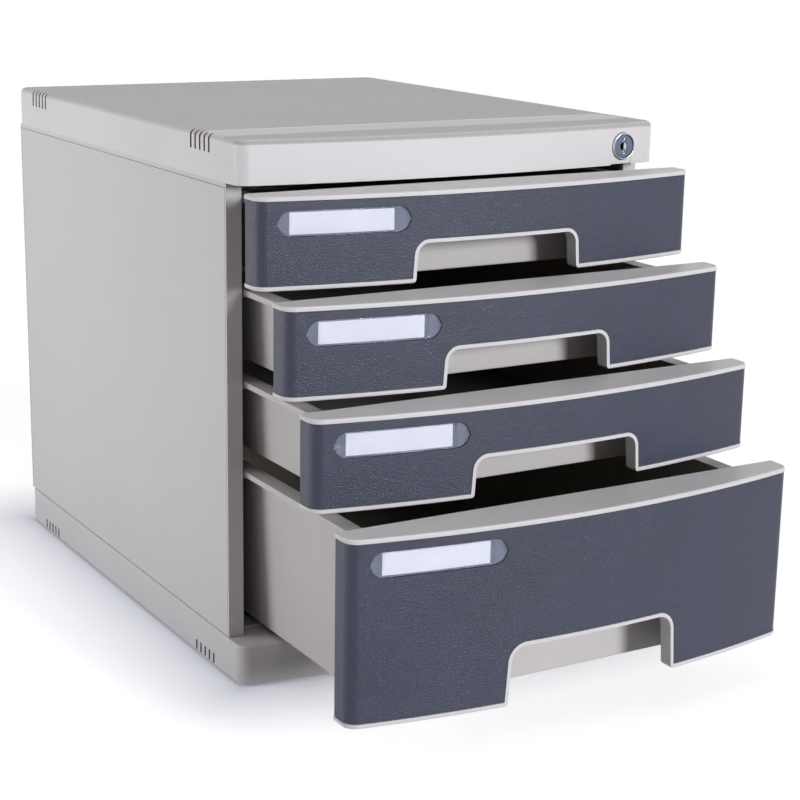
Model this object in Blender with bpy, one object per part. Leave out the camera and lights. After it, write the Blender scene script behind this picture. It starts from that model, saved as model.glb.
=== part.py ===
"""Desktop file drawer: a cabinet with three shallow drawers, one deep drawer and a cam lock.

Metres, +X right, the front towards -Y, +Z up, and z = 0 under the feet.
"""

import math

import bmesh
import bpy
from mathutils import Matrix, Vector

# Gaps
CLEARANCE = 0.0003  # between pieces that touch
RUNNING_GAP = 0.0005  # between pieces that slide past each other

# Case
CASE_WIDTH = 0.300
CASE_DEPTH = 0.380  # along the straight sides of the lid and the base
SIDE_INSET = 0.001  # the side panels lie this far inside the lid and the base
POST_SETBACK = 0.018  # from the lid's front corners to the posts
PANEL_THICKNESS = 0.010
SHELL_WALL = 0.0025
LINER_THICKNESS = 0.002

# Lid
LID_HEIGHT = 0.0265
LID_BOW = 0.012
LID_CORNER = 0.009
LID_ROOF = 0.003
LID_EDGE_ROUND = 0.0035
BAND_FRONT = 0.0215
BAND_BACK = 0.052
BAND_SINK = 0.0004

# Base
BASE_HEIGHT = 0.0243
BASE_BOW = 0.017
BASE_CORNER = 0.009
BASE_DECK = 0.003
BASE_EDGE_ROUND = 0.001
RIDGE_SETBACK = 0.029
RIDGE_WIDTH = 0.0015
RIDGE_HEIGHT = 0.0008

# Vent slots in the lid and the base
SLOT_COUNT = 5
SLOT_PITCH = 0.0065
SLOT_WIDTH = 0.0028
SLOT_HEIGHT = 0.0112
SLOT_WRAP = 0.003
SLOT_FRONT = 0.0377
SLOT_BACK = 0.0325
BASE_SLOT_HEIGHT = 0.007

# Feet
FOOT_RADIUS = 0.009
FOOT_PROUD = 0.002
FOOT_SUNK = 0.0015
FOOT_SIDE_MARGIN = 0.018
FOOT_END_MARGIN = 0.026

# Screws
SCREW_RADIUS = 0.0015
SCREW_LENGTH = 0.020
SCREW_HEAD_RADIUS = 0.0025
SCREW_HEAD_HEIGHT = 0.002
SCREW_SETBACKS = (0.090, 0.290)
SCREW_POST_RADIUS = 0.0045
SCREW_BLOCK_HEIGHT = 0.010
SCREW_SEAT = 0.010  # how far the head's seat lies under the base's deck
FIXING_SCREW_LENGTH = 0.010
FIXING_MARGIN = 0.0588  # of the screws that hold each drawer's front, from its end
FIXING_DROP = 0.026  # and below its top

# Drawer fronts
SHALLOW_HEIGHT = 0.0541
DEEP_HEIGHT = 0.1092
DRAWER_GAP = 0.0022
TOP_GAP = 0.0018
BOTTOM_GAP = 0.0033
FRONT_OVERLAP = 0.0048  # each front reaches this far past the posts
FRONT_BOW = 0.0165
FRONT_CORNER = 0.0085
FRONT_DEPTH = 0.016
FRONT_WALL = 0.002
RIM = 0.0027
RIM_ROUND = 0.0008
RIM_STEP = 0.0001  # the notch's rim lies this far behind the lower rim
FASCIA_THICKNESS = 0.002
FASCIA_SUNK = 0.0004
NOTCH_HALF_WIDTH = 0.0573
NOTCH_CORNER = 0.0073
SHALLOW_NOTCH = 0.0234
DEEP_NOTCH = 0.0353
NOTCH_WALL_BACK = 0.0045  # the notch's wall stops this far in front of the end plane

# Labels
LABEL_MARGIN = 0.0527  # from the front's left end to the window's middle
LABEL_WIDTH = 0.0797
LABEL_HEIGHT = 0.0145
LABEL_DROP = 0.0157
CARD_SHIFT = -0.0016  # of the card's middle from the window's
CARD_WIDTH = 0.0633
CARD_HEIGHT = 0.0127
CARD_THICKNESS = 0.0004
WINDOW_SUNK = 0.0002
WINDOW_THICKNESS = 0.0011

# Drawer tubs
RIM_DROP = 0.0065  # the tub's rim lies this far below the front's top
FLANGE_GAP = 0.0015
FLANGE_WIDTH = 0.0105
FLANGE_THICKNESS = 0.002
LIP_HEIGHT = 0.0035
LIP_THICKNESS = 0.0016
TUB_WALL = 0.002
TUB_FLOOR = 0.002
TUB_LENGTH = 0.350
TUB_CORNER = 0.006
SIDE_DRAFT = math.radians(2.4)
END_DRAFT = math.radians(1.3)
STOP_LENGTH = 0.006
STOP_HEIGHT = 0.0017
STOP_WIDTH = 0.005
CATCH_LENGTH = 0.005
CATCH_REACH = 0.0035  # from the tub's side wall, under the flange

# How far each drawer is pulled out here, top to bottom, and how far it comes out in all
OPEN_NOW = (0.0343, 0.0702, 0.1031, 0.1450)
FULL_TRAVEL = 0.225

# Runners
RAIL_THICKNESS = 0.002
RAIL_REACH = 0.0092
RAIL_MARGIN = 0.0015
KEEPER_SETBACK = 0.045
NUB_LENGTH = 0.004

# Back panel
BACK_THICKNESS = 0.0025
BACK_INSET = 0.001
BACK_MARGIN = 0.014
BACK_RECESS = 0.0008

# Lock
LOCK_MARGIN = 0.0293  # from the lid's right side to the lock's axis
LOCK_HEIGHT = 0.0119  # of its axis above the lid's lower edge
BEZEL_RADIUS = 0.0086
BEZEL_PROUD = 0.0023  # in front of the lid's face on the lock's axis
BEZEL_BACK = 0.0003  # the bezel's shoulder lies this far in front of the corner line
BARREL_RADIUS = 0.0078
BARREL_LENGTH = 0.016
FACE_RADIUS = 0.0070
FACE_SUNK = 0.0008
FACE_THICKNESS = 0.003
PLUG_RADIUS = 0.0055
PLUG_LENGTH = 0.0189
KEYWAY_WIDTH = 0.0018
KEYWAY_HEIGHT = 0.0076
KEYWAY_DEPTH = 0.012
KEY_ROUND_RADIUS = 0.0025
KEY_ROUND_DEPTH = 0.002
PAD_DEPTH = 0.006
PAD_HALF_WIDTH = 0.013
NUT_RADIUS = 0.0105
NUT_THICKNESS = 0.003
CAM_RADIUS = 0.0075
CAM_THICKNESS = 0.0025
CRANK_RADIUS = 0.004
CRANK_START = math.radians(45)
PIN_RADIUS = 0.0013
PIN_PAST = 0.0005
RELIEF_WIDTH = 0.0173
RELIEF_OFFSET = -0.0007
RELIEF_HEIGHT = 0.0007
SEAM_WIDTH = 0.0004
SEAM_DEPTH = 0.0005

# Lock bar
BAR_THICKNESS = 0.003
BAR_WIDTH = 0.010
BAR_WALL_GAP = 0.0013
ARM_HALF_HEIGHT = 0.004
LUG_LENGTH = 0.004
LUG_HEIGHT = 0.002
LUG_WALL_GAP = 0.0015  # from a lug's tip to the tub's side wall at its rim
LUG_SETBACK = 0.0035

# Roundness
BOW_STEPS = 16
CORNER_STEPS = 4
ROUND_STEPS = 20
SCREW_STEPS = 12

# Worked out from the above
HALF_CASE = CASE_WIDTH / 2
PANEL_OUTER = HALF_CASE - SIDE_INSET
PANEL_INNER = PANEL_OUTER - PANEL_THICKNESS
DRAWER_HEIGHTS = (SHALLOW_HEIGHT, SHALLOW_HEIGHT, SHALLOW_HEIGHT, DEEP_HEIGHT)
NOTCH_HEIGHTS = (SHALLOW_NOTCH, SHALLOW_NOTCH, SHALLOW_NOTCH, DEEP_NOTCH)
DRAWER_COUNT = len(DRAWER_HEIGHTS)
BAY_HEIGHT = TOP_GAP + sum(DRAWER_HEIGHTS) + DRAWER_GAP * (DRAWER_COUNT - 1) + BOTTOM_GAP
LID_LOW = BASE_HEIGHT + BAY_HEIGHT
LID_HIGH = LID_LOW + LID_HEIGHT
FRONT_HALF = PANEL_OUTER + FRONT_OVERLAP
SHUT_PLANE = POST_SETBACK - RUNNING_GAP - FRONT_DEPTH
FIXING_X = FRONT_HALF - FIXING_MARGIN
LABEL_CENTRE_X = LABEL_MARGIN - FRONT_HALF
CARD_CENTRE_X = LABEL_CENTRE_X + CARD_SHIFT
TUB_FRONT = FRONT_DEPTH + CLEARANCE
TUB_BACK = TUB_FRONT + TUB_LENGTH
FLANGE_OUTER = PANEL_INNER - FLANGE_GAP
TUB_INNER = FLANGE_OUTER - FLANGE_WIDTH
TUB_OUTER = TUB_INNER + TUB_WALL
PANEL_LOW = BASE_HEIGHT + CLEARANCE
PANEL_HIGH = LID_LOW - CLEARANCE
PANEL_BACK = CASE_DEPTH - SIDE_INSET
HOLLOW_OUTER = PANEL_OUTER - SHELL_WALL
LINER_OUTER = PANEL_INNER + LINER_THICKNESS
SCREW_X = (LINER_OUTER + HOLLOW_OUTER) / 2
LINER_LOW = PANEL_LOW + SHELL_WALL + CLEARANCE
LINER_HIGH = PANEL_HIGH - SHELL_WALL - CLEARANCE
LINER_FRONT = POST_SETBACK + SHELL_WALL + CLEARANCE
LINER_BACK = PANEL_BACK - SHELL_WALL - CLEARANCE
LOCK_TRAVEL = 2 * CRANK_RADIUS * math.sin(CRANK_START)
LOCK_X = HALF_CASE - LOCK_MARGIN
LOCK_Z = LID_LOW + LOCK_HEIGHT
CAM_FRONT = PLUG_LENGTH + CLEARANCE
CAM_BACK = CAM_FRONT + CAM_THICKNESS
ARM_FRONT = CAM_BACK + RUNNING_GAP
ARM_BACK = ARM_FRONT + BAR_THICKNESS
LUG_FRONT = ARM_FRONT + LUG_SETBACK
LUG_BACK = LUG_FRONT + LUG_LENGTH
CATCH_FRONT = LUG_BACK + RUNNING_GAP - SHUT_PLANE
LEDGE_LOW = -LIP_HEIGHT - CLEARANCE - RAIL_THICKNESS  # a ledge's underside, counted from the rim
LUG_HIGH = LEDGE_LOW - 2 * RUNNING_GAP  # a raised lug's top, counted from the rim
LUG_LOWEST = LUG_HIGH - LUG_HEIGHT - LOCK_TRAVEL
CATCH_HIGH = LUG_HIGH - LUG_HEIGHT - RUNNING_GAP
REACH = max(max(OPEN_NOW) - SHUT_PLANE + FRONT_BOW, BASE_BOW)
CASE_Y = (REACH - CASE_DEPTH) / 2  # puts the whole object's middle at y = 0


def drawer_low(index):
    """The height of a drawer front's lower edge, counted from the base's lower edge."""
    above = sum(DRAWER_HEIGHTS[: index + 1]) + DRAWER_GAP * index
    return LID_LOW - TOP_GAP - above


def rim_height(index):
    return drawer_low(index) + DRAWER_HEIGHTS[index] - RIM_DROP


def bow_face(half_width, bow, x):
    """Where a bowed face lies at x, counted from its corner line and negative in front of it."""
    radius = (half_width**2 + bow**2) / (2 * bow)
    return radius - bow - math.sqrt(radius**2 - x**2)


def tub_face(height, rim):
    """Where the tub's drafted front wall has its outer face at one height of the drawer."""
    return TUB_FRONT + (rim - height) * math.tan(END_DRAFT)


# Meshes


def arc(centre, radius, start, end, steps):
    """Points along an arc, both ends included."""
    turns = [start + (end - start) * i / steps for i in range(steps + 1)]
    return [(centre[0] + radius * math.cos(t), centre[1] + radius * math.sin(t)) for t in turns]


def bowed_front(half_width, bow, corner, inset=0.0):
    """A bowed front in plan with round corners, left to right. Its sharp corners would be at y = 0."""
    radius = (half_width**2 + bow**2) / (2 * bow)
    middle = (0.0, radius - bow)
    corner_x = half_width - corner
    corner_y = middle[1] - math.sqrt((radius - corner) ** 2 - corner_x**2)
    swing = math.asin(corner_x / (radius - corner))
    down = -math.pi / 2
    left = arc((-corner_x, corner_y), corner - inset, -math.pi, down - swing, CORNER_STEPS)
    front = arc(middle, radius - inset, down - swing, down + swing, BOW_STEPS)
    right = arc((corner_x, corner_y), corner - inset, down + swing, 0, CORNER_STEPS)
    return left[:-1] + front + right[1:]


def bowed_plan(half_width, bow, corner, back, inset=0.0, back_corner=0.0):
    """A closed plan with a bowed front and a straight back, anticlockwise from above."""
    points = bowed_front(half_width, bow, corner, inset)
    side = half_width - inset
    if back_corner:
        turn = back_corner - inset
        x, y = side - turn, back - turn
        points += arc((x, y), turn, 0, math.pi / 2, CORNER_STEPS)
        points += arc((-x, y), turn, math.pi / 2, math.pi, CORNER_STEPS)
    else:
        points += [(side, back), (-side, back)]
    return points


def bowed_skin(outer, inner, back):
    """The plan of a skin between two insets of a drawer front, open at the back."""
    plans = []
    for inset in (outer, inner):
        side = FRONT_HALF - inset
        front = bowed_front(FRONT_HALF, FRONT_BOW, FRONT_CORNER, inset)
        plans.append([(-side, back)] + front + [(side, back)])
    return plans[0] + plans[1][::-1]


def stadium(centre, width, height, steps=8):
    """A shape with two round ends, as (x, z) points."""
    radius = height / 2
    x, z = centre
    reach = width / 2 - radius
    right = arc((x + reach, z), radius, -math.pi / 2, math.pi / 2, steps)
    left = arc((x - reach, z), radius, math.pi / 2, 3 * math.pi / 2, steps)
    return right + left


def extruded(points, along):
    """A bmesh of a flat outline pushed along a vector."""
    shape = bmesh.new()
    face = shape.faces.new([shape.verts.new(point) for point in points])
    pushed = bmesh.ops.extrude_face_region(shape, geom=[face])["geom"]
    verts = [item for item in pushed if isinstance(item, bmesh.types.BMVert)]
    bmesh.ops.translate(shape, verts=verts, vec=along)
    bmesh.ops.recalc_face_normals(shape, faces=shape.faces)
    return shape


def raised(plan, low, high):
    """A plan outline raised from one height to another."""
    return extruded([(x, y, low) for x, y in plan], (0, 0, high - low))


def drawn_back(profile, front, back):
    """An (x, z) profile drawn from the front towards the back."""
    return extruded([(x, front, z) for x, z in profile], (0, back - front, 0))


def add_box(shape, low, high):
    low, high = Vector(low), Vector(high)
    size = Matrix.Diagonal((*(high - low), 1))
    bmesh.ops.create_cube(shape, size=1, matrix=Matrix.Translation((low + high) / 2) @ size)


def add_rod(shape, start, end, radius, steps=ROUND_STEPS):
    start, end = Vector(start), Vector(end)
    turn = (end - start).to_track_quat("Z", "Y").to_matrix().to_4x4()
    bmesh.ops.create_cone(
        shape,
        cap_ends=True,
        segments=steps,
        radius1=radius,
        radius2=radius,
        depth=(end - start).length,
        matrix=Matrix.Translation((start + end) / 2) @ turn,
    )


def boxes(*corners):
    shape = bmesh.new()
    for low, high in corners:
        add_box(shape, low, high)
    return shape


def rods(*ends, steps=ROUND_STEPS):
    shape = bmesh.new()
    for start, end, radius in ends:
        add_rod(shape, start, end, radius, steps)
    return shape


def round_edges(shape, wanted, radius, segments):
    edges = [edge for edge in shape.edges if wanted(edge)]
    bmesh.ops.bevel(
        shape, geom=edges, offset=radius, segments=segments, profile=0.5, affect="EDGES", material=-1
    )


def at_height(height):
    return lambda edge: all(abs(vert.co.z - height) < 1e-6 for vert in edge.verts)


def arch(half_width, low, high, front, back, radius, segments=CORNER_STEPS):
    """A block whose two upper side edges are rounded."""
    shape = boxes(((-half_width, front, low), (half_width, back, high)))

    def upper_side(edge):
        a, b = (vert.co for vert in edge.verts)
        return at_height(high)(edge) and abs(a.x - b.x) < 1e-6

    round_edges(shape, upper_side, radius, segments)
    return shape


def loft(rings):
    """A closed solid through rings of points: the first and the last are capped."""
    shape = bmesh.new()
    loops, ends = [], []
    for ring in rings:
        verts = [shape.verts.new(point) for point in ring]
        pairs = zip(verts, verts[1:] + verts[:1])
        loops.append([shape.edges.new(pair) for pair in pairs])
        ends.append(verts)
    for first, second in zip(loops, loops[1:]):
        bmesh.ops.bridge_loops(shape, edges=first + second)
    shape.faces.new(ends[0])
    shape.faces.new(ends[-1])
    bmesh.ops.recalc_face_normals(shape, faces=shape.faces)
    return shape


def rounded_ring(half_width, front, back, corner, height):
    """A rectangle with round corners at one height."""
    x, low, high = half_width - corner, front + corner, back - corner
    quarter = math.pi / 2
    points = arc((x, high), corner, 0, quarter, CORNER_STEPS)
    points += arc((-x, high), corner, quarter, 2 * quarter, CORNER_STEPS)
    points += arc((-x, low), corner, 2 * quarter, 3 * quarter, CORNER_STEPS)
    points += arc((x, low), corner, 3 * quarter, 4 * quarter, CORNER_STEPS)
    return [(px, py, height) for px, py in points]


# Objects


def finish(name, colour, roughness, metallic=0.0, alpha=1.0):
    """The Principled material of a kind of piece, made once."""
    known = bpy.data.materials.get(name)
    if known:
        return known
    material = bpy.data.materials.new(name)
    material.use_nodes = True
    shader = material.node_tree.nodes["Principled BSDF"]
    shader.inputs["Base Color"].default_value = (*colour, 1)
    shader.inputs["Roughness"].default_value = roughness
    shader.inputs["Metallic"].default_value = metallic
    shader.inputs["Alpha"].default_value = alpha
    material.diffuse_color = (*colour, alpha)
    return material


def piece(name, shape, parent, material=None):
    """An object from a bmesh, shaded smooth over its shallow edges."""
    mesh = bpy.data.meshes.new(name)
    shape.to_mesh(mesh)
    shape.free()
    mesh.shade_smooth()
    mesh.set_sharp_from_angle(angle=math.radians(35))
    made = bpy.data.objects.new(name, mesh)
    bpy.context.collection.objects.link(made)
    made.parent = parent
    if material:
        mesh.materials.append(material)
    return made


def combine(target, operation, shape, hint):
    """Adds, cuts or keeps the common part of a helper shape, which stays out of the render."""
    helper = piece(f"{target.name}_{hint}", shape, target.parent)
    helper.hide_render = True
    helper.display_type = "WIRE"
    step = target.modifiers.new(hint, "BOOLEAN")
    step.operation = operation
    step.solver = "EXACT"
    step.object = helper
    return helper


def frame_at(name, location, parent=None):
    empty = bpy.data.objects.new(name, None)
    empty.location = location
    empty.parent = parent
    bpy.context.collection.objects.link(empty)
    return empty


def light_plastic():
    return finish("light_plastic", (0.61, 0.59, 0.58), 0.5)


def steel():
    return finish("steel", (0.55, 0.56, 0.58), 0.35, 1.0)


# Cabinet


def slot_cutters(low, high):
    """Boxes for the vent slots near both ends of both sides."""
    groups = []
    span = SLOT_PITCH * (SLOT_COUNT - 1) + SLOT_WIDTH
    starts = (SLOT_FRONT, CASE_DEPTH - SLOT_BACK - span)
    for side in (-1, 1):
        for start in starts:
            for i in range(SLOT_COUNT):
                front = start + i * SLOT_PITCH
                xs = sorted((side * (HALF_CASE - SLOT_WRAP), side * (HALF_CASE + SLOT_WRAP)))
                groups.append(((xs[0], front, low), (xs[1], front + SLOT_WIDTH, high)))
    return boxes(*groups)


def screw_places():
    return [(side * SCREW_X, setback) for side in (-1, 1) for setback in SCREW_SETBACKS]


def lid_face(x):
    return bow_face(HALF_CASE, LID_BOW, x)


def make_top_cover(cabinet):
    plan = bowed_plan(HALF_CASE, LID_BOW, LID_CORNER, CASE_DEPTH, back_corner=LID_CORNER)
    shape = raised(plan, LID_LOW, LID_HIGH)
    round_edges(shape, at_height(LID_HIGH), LID_EDGE_ROUND, 3)
    cover = piece("top_cover", shape, cabinet, light_plastic())

    inside = bowed_plan(
        HALF_CASE, LID_BOW, LID_CORNER, CASE_DEPTH - SHELL_WALL, SHELL_WALL, LID_CORNER
    )
    roof = LID_HIGH - LID_ROOF
    combine(cover, "DIFFERENCE", raised(inside, LID_LOW - LID_HEIGHT, roof), "hollow")
    combine(cover, "DIFFERENCE", slot_cutters(LID_HIGH - SLOT_HEIGHT, LID_HIGH + SLOT_HEIGHT), "vents")

    posts = [
        ((x, y, LID_LOW), (x, y, roof + LID_ROOF / 2), SCREW_POST_RADIUS) for x, y in screw_places()
    ]
    combine(cover, "UNION", rods(*posts, steps=SCREW_STEPS), "screw_posts")
    pad = bowed_plan(HALF_CASE, LID_BOW, LID_CORNER, CASE_DEPTH / 4, SHELL_WALL / 2)
    pad_object = combine(cover, "UNION", raised(pad, LID_LOW, roof + LID_ROOF / 2), "lock_pad")
    pad_low = (LOCK_X - PAD_HALF_WIDTH, -CASE_DEPTH, LID_LOW - LID_HEIGHT)
    pad_high = (LOCK_X + PAD_HALF_WIDTH, PAD_DEPTH, LID_HIGH + LID_HEIGHT)
    combine(pad_object, "INTERSECT", boxes((pad_low, pad_high)), "width")

    tip = SCREW_LENGTH + CLEARANCE
    holes = [((x, y, 0), (x, y, LID_LOW + tip), SCREW_RADIUS + CLEARANCE) for x, y in screw_places()]
    combine(cover, "DIFFERENCE", rods(*holes, steps=SCREW_STEPS), "screw_holes")
    bores = (
        ((LOCK_X, -CASE_DEPTH, LOCK_Z), (LOCK_X, 0, LOCK_Z), BEZEL_RADIUS + CLEARANCE),
        ((LOCK_X, -LID_BOW, LOCK_Z), (LOCK_X, CASE_DEPTH / 4, LOCK_Z), BARREL_RADIUS + CLEARANCE),
    )
    for index, bore in enumerate(bores):
        combine(cover, "DIFFERENCE", rods(bore), f"lock_bore_{index}")

    centre = LOCK_X + RELIEF_OFFSET
    edge = centre + RELIEF_WIDTH / 2
    seam_front = lid_face(edge)
    cuts = boxes(
        ((centre - RELIEF_WIDTH / 2, -LID_BOW, 0), (edge, PAD_DEPTH * 2, LID_LOW + RELIEF_HEIGHT)),
    )
    combine(cover, "DIFFERENCE", cuts, "relief")
    seam_low = (edge - SEAM_WIDTH, seam_front - LID_BOW, LID_LOW - RELIEF_HEIGHT)
    seam_high = (edge, seam_front + SEAM_DEPTH, LOCK_Z)
    combine(cover, "DIFFERENCE", boxes((seam_low, seam_high)), "seam")
    band_low = (-HALF_CASE + LID_EDGE_ROUND, BAND_FRONT, LID_HIGH - BAND_SINK)
    band_high = (HALF_CASE - LID_EDGE_ROUND, BAND_BACK, LID_HIGH + BAND_SINK)
    combine(cover, "DIFFERENCE", boxes((band_low, band_high)), "band")


def foot_places():
    x = HALF_CASE - FOOT_SIDE_MARGIN
    return {
        "front_left": (-x, FOOT_END_MARGIN),
        "front_right": (x, FOOT_END_MARGIN),
        "rear_left": (-x, CASE_DEPTH - FOOT_END_MARGIN),
        "rear_right": (x, CASE_DEPTH - FOOT_END_MARGIN),
    }


def make_base(cabinet):
    plan = bowed_plan(HALF_CASE, BASE_BOW, BASE_CORNER, CASE_DEPTH, back_corner=BASE_CORNER)
    shape = raised(plan, 0, BASE_HEIGHT)
    round_edges(shape, at_height(BASE_HEIGHT), BASE_EDGE_ROUND, 2)
    base = piece("base", shape, cabinet, light_plastic())

    inside = bowed_plan(
        HALF_CASE, BASE_BOW, BASE_CORNER, CASE_DEPTH - SHELL_WALL, SHELL_WALL, BASE_CORNER
    )
    ceiling = BASE_HEIGHT - BASE_DECK
    combine(base, "DIFFERENCE", raised(inside, -BASE_HEIGHT, ceiling), "hollow")
    combine(base, "DIFFERENCE", slot_cutters(-BASE_SLOT_HEIGHT, BASE_SLOT_HEIGHT), "vents")

    middle = ceiling + BASE_DECK / 2
    pads = [
        ((x, y, 0), (x, y, middle), FOOT_RADIUS + SHELL_WALL) for x, y in foot_places().values()
    ]
    combine(base, "UNION", rods(*pads), "foot_pads")
    posts = [((x, y, 0), (x, y, middle), SCREW_POST_RADIUS) for x, y in screw_places()]
    combine(base, "UNION", rods(*posts, steps=SCREW_STEPS), "screw_posts")
    seats = [
        ((x, y, -FOOT_SUNK), (x, y, FOOT_SUNK + CLEARANCE), FOOT_RADIUS + CLEARANCE)
        for x, y in foot_places().values()
    ]
    combine(base, "DIFFERENCE", rods(*seats), "foot_seats")
    seat = BASE_HEIGHT - SCREW_SEAT
    wide = [((x, y, -seat), (x, y, seat), SCREW_HEAD_RADIUS + CLEARANCE) for x, y in screw_places()]
    combine(base, "DIFFERENCE", rods(*wide, steps=SCREW_STEPS), "screw_seats")
    thin = [((x, y, 0), (x, y, LID_LOW), SCREW_RADIUS + CLEARANCE) for x, y in screw_places()]
    combine(base, "DIFFERENCE", rods(*thin, steps=SCREW_STEPS), "screw_holes")

    ridge_low = (-PANEL_INNER + CLEARANCE, RIDGE_SETBACK, middle)
    ridge_high = (PANEL_INNER - CLEARANCE, RIDGE_SETBACK + RIDGE_WIDTH, BASE_HEIGHT + RIDGE_HEIGHT)
    combine(base, "UNION", boxes((ridge_low, ridge_high)), "ridge")


def spread(side, inner, outer):
    """The two x values between which a piece lies on one side of the case, lower first."""
    return sorted((side * inner, side * outer))


def make_side_panel(cabinet, name, side):
    left, right = spread(side, PANEL_INNER, PANEL_OUTER)
    shape = boxes(((left, POST_SETBACK, PANEL_LOW), (right, PANEL_BACK, PANEL_HIGH)))
    panel = piece(f"{name}_side_panel", shape, cabinet, light_plastic())
    left, right = spread(side, PANEL_INNER - SHELL_WALL, HOLLOW_OUTER)
    low = (left, POST_SETBACK + SHELL_WALL, PANEL_LOW + SHELL_WALL)
    high = (right, PANEL_BACK - SHELL_WALL, PANEL_HIGH - SHELL_WALL)
    combine(panel, "DIFFERENCE", boxes((low, high)), "hollow")

    left, right = spread(side, LINER_OUTER + CLEARANCE, HOLLOW_OUTER + SHELL_WALL / 2)
    blocks = [
        (
            (left, y - SCREW_POST_RADIUS, PANEL_LOW + SHELL_WALL / 2),
            (right, y + SCREW_POST_RADIUS, PANEL_LOW + SHELL_WALL + SCREW_BLOCK_HEIGHT),
        )
        for y in SCREW_SETBACKS
    ]
    combine(panel, "UNION", boxes(*blocks), "screw_blocks")
    tip = BASE_HEIGHT - SCREW_SEAT + SCREW_LENGTH + CLEARANCE
    holes = []
    for y in SCREW_SETBACKS:
        x = side * SCREW_X
        holes.append(((x, y, 0), (x, y, tip), SCREW_RADIUS + CLEARANCE))
        top = PANEL_HIGH - 2 * SHELL_WALL
        holes.append(((x, y, top), (x, y, LID_HIGH), SCREW_RADIUS + CLEARANCE))
    combine(panel, "DIFFERENCE", rods(*holes, steps=SCREW_STEPS), "screw_holes")
    if side > 0:
        low = (PANEL_INNER - SHELL_WALL, ARM_FRONT - RUNNING_GAP, PANEL_HIGH - 2 * SHELL_WALL)
        high = (HOLLOW_OUTER, ARM_FRONT + BAR_WIDTH + RUNNING_GAP, LID_HIGH)
        combine(panel, "DIFFERENCE", boxes((low, high)), "bar_slot")


def make_runner_panel(cabinet, name, side):
    left, right = spread(side, PANEL_INNER, LINER_OUTER)
    shape = boxes(((left, LINER_FRONT, LINER_LOW), (right, LINER_BACK, LINER_HIGH)))
    runner = piece(f"{name}_runner_panel", shape, cabinet, finish("runner", (0.30, 0.29, 0.28), 0.55))
    left, right = spread(side, PANEL_INNER - RAIL_REACH, PANEL_INNER + LINER_THICKNESS / 2)
    rails, nubs, windows = [], [], []
    for index in range(DRAWER_COUNT):
        rim = rim_height(index)
        ledge = rim + LEDGE_LOW
        keeper = rim + STOP_HEIGHT + RUNNING_GAP
        front, back = LINER_FRONT + RAIL_MARGIN, LINER_BACK - RAIL_MARGIN
        rails.append(((left, front, ledge), (right, back, ledge + RAIL_THICKNESS)))
        rails.append(((left, KEEPER_SETBACK, keeper), (right, back, keeper + RAIL_THICKNESS)))
        nub_back = SHUT_PLANE + TUB_BACK - STOP_LENGTH - FULL_TRAVEL - RUNNING_GAP
        nubs.append(
            (
                (left, nub_back - NUB_LENGTH, keeper - STOP_HEIGHT + CLEARANCE),
                (right, nub_back, keeper + RAIL_THICKNESS / 2),
            )
        )
        window_low = (PANEL_INNER - CLEARANCE, LUG_FRONT - RUNNING_GAP, rim + LUG_LOWEST - RUNNING_GAP)
        window_high = (HALF_CASE, LUG_BACK + RUNNING_GAP, rim + LUG_HIGH + RUNNING_GAP)
        windows.append((window_low, window_high))
    combine(runner, "UNION", boxes(*rails), "rails")
    combine(runner, "UNION", boxes(*nubs), "stop_nubs")
    if side > 0:
        combine(runner, "DIFFERENCE", boxes(*windows), "lug_windows")


def make_back_panel(cabinet):
    half = PANEL_INNER - CLEARANCE
    back = CASE_DEPTH - BACK_INSET
    front = back - BACK_THICKNESS
    shape = boxes(((-half, front, PANEL_LOW), (half, back, PANEL_HIGH)))
    panel = piece("back_panel", shape, cabinet, light_plastic())
    low = (-half + BACK_MARGIN, back - BACK_RECESS, PANEL_LOW + BACK_MARGIN)
    high = (half - BACK_MARGIN, back + BACK_RECESS, PANEL_HIGH - BACK_MARGIN)
    combine(panel, "DIFFERENCE", boxes((low, high)), "recess")


def make_feet(cabinet):
    rubber = finish("foot_rubber", (0.03, 0.03, 0.03), 0.8)
    for corner, (x, y) in foot_places().items():
        shape = rods(((x, y, -FOOT_PROUD), (x, y, FOOT_SUNK), FOOT_RADIUS))
        piece(f"foot_{corner}", shape, cabinet, rubber)


def make_screw(parent, name, seat, along, length):
    """A pan-head screw whose head bears at the seat, its shank pointing along a direction."""
    seat, along = Vector(seat), Vector(along)
    top = seat - along * SCREW_HEAD_HEIGHT
    screw = piece(name, rods((top, seat, SCREW_HEAD_RADIUS), steps=SCREW_STEPS), parent, steel())
    start = seat - along * SCREW_HEAD_HEIGHT / 2
    shank = rods((start, seat + along * length, SCREW_RADIUS), steps=SCREW_STEPS)
    combine(screw, "UNION", shank, "shank")


def make_screws(cabinet):
    corners = ("front_left", "rear_left", "front_right", "rear_right")
    up = (0, 0, 1)
    low = BASE_HEIGHT - SCREW_SEAT - CLEARANCE
    high = PANEL_HIGH - SHELL_WALL - CLEARANCE
    for corner, (x, y) in zip(corners, screw_places()):
        make_screw(cabinet, f"base_screw_{corner}", (x, y, low), up, SCREW_LENGTH)
        make_screw(cabinet, f"cover_screw_{corner}", (x, y, high), up, SCREW_LENGTH)


# Lock


def bezel_front():
    return lid_face(LOCK_X) - BEZEL_PROUD


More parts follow.
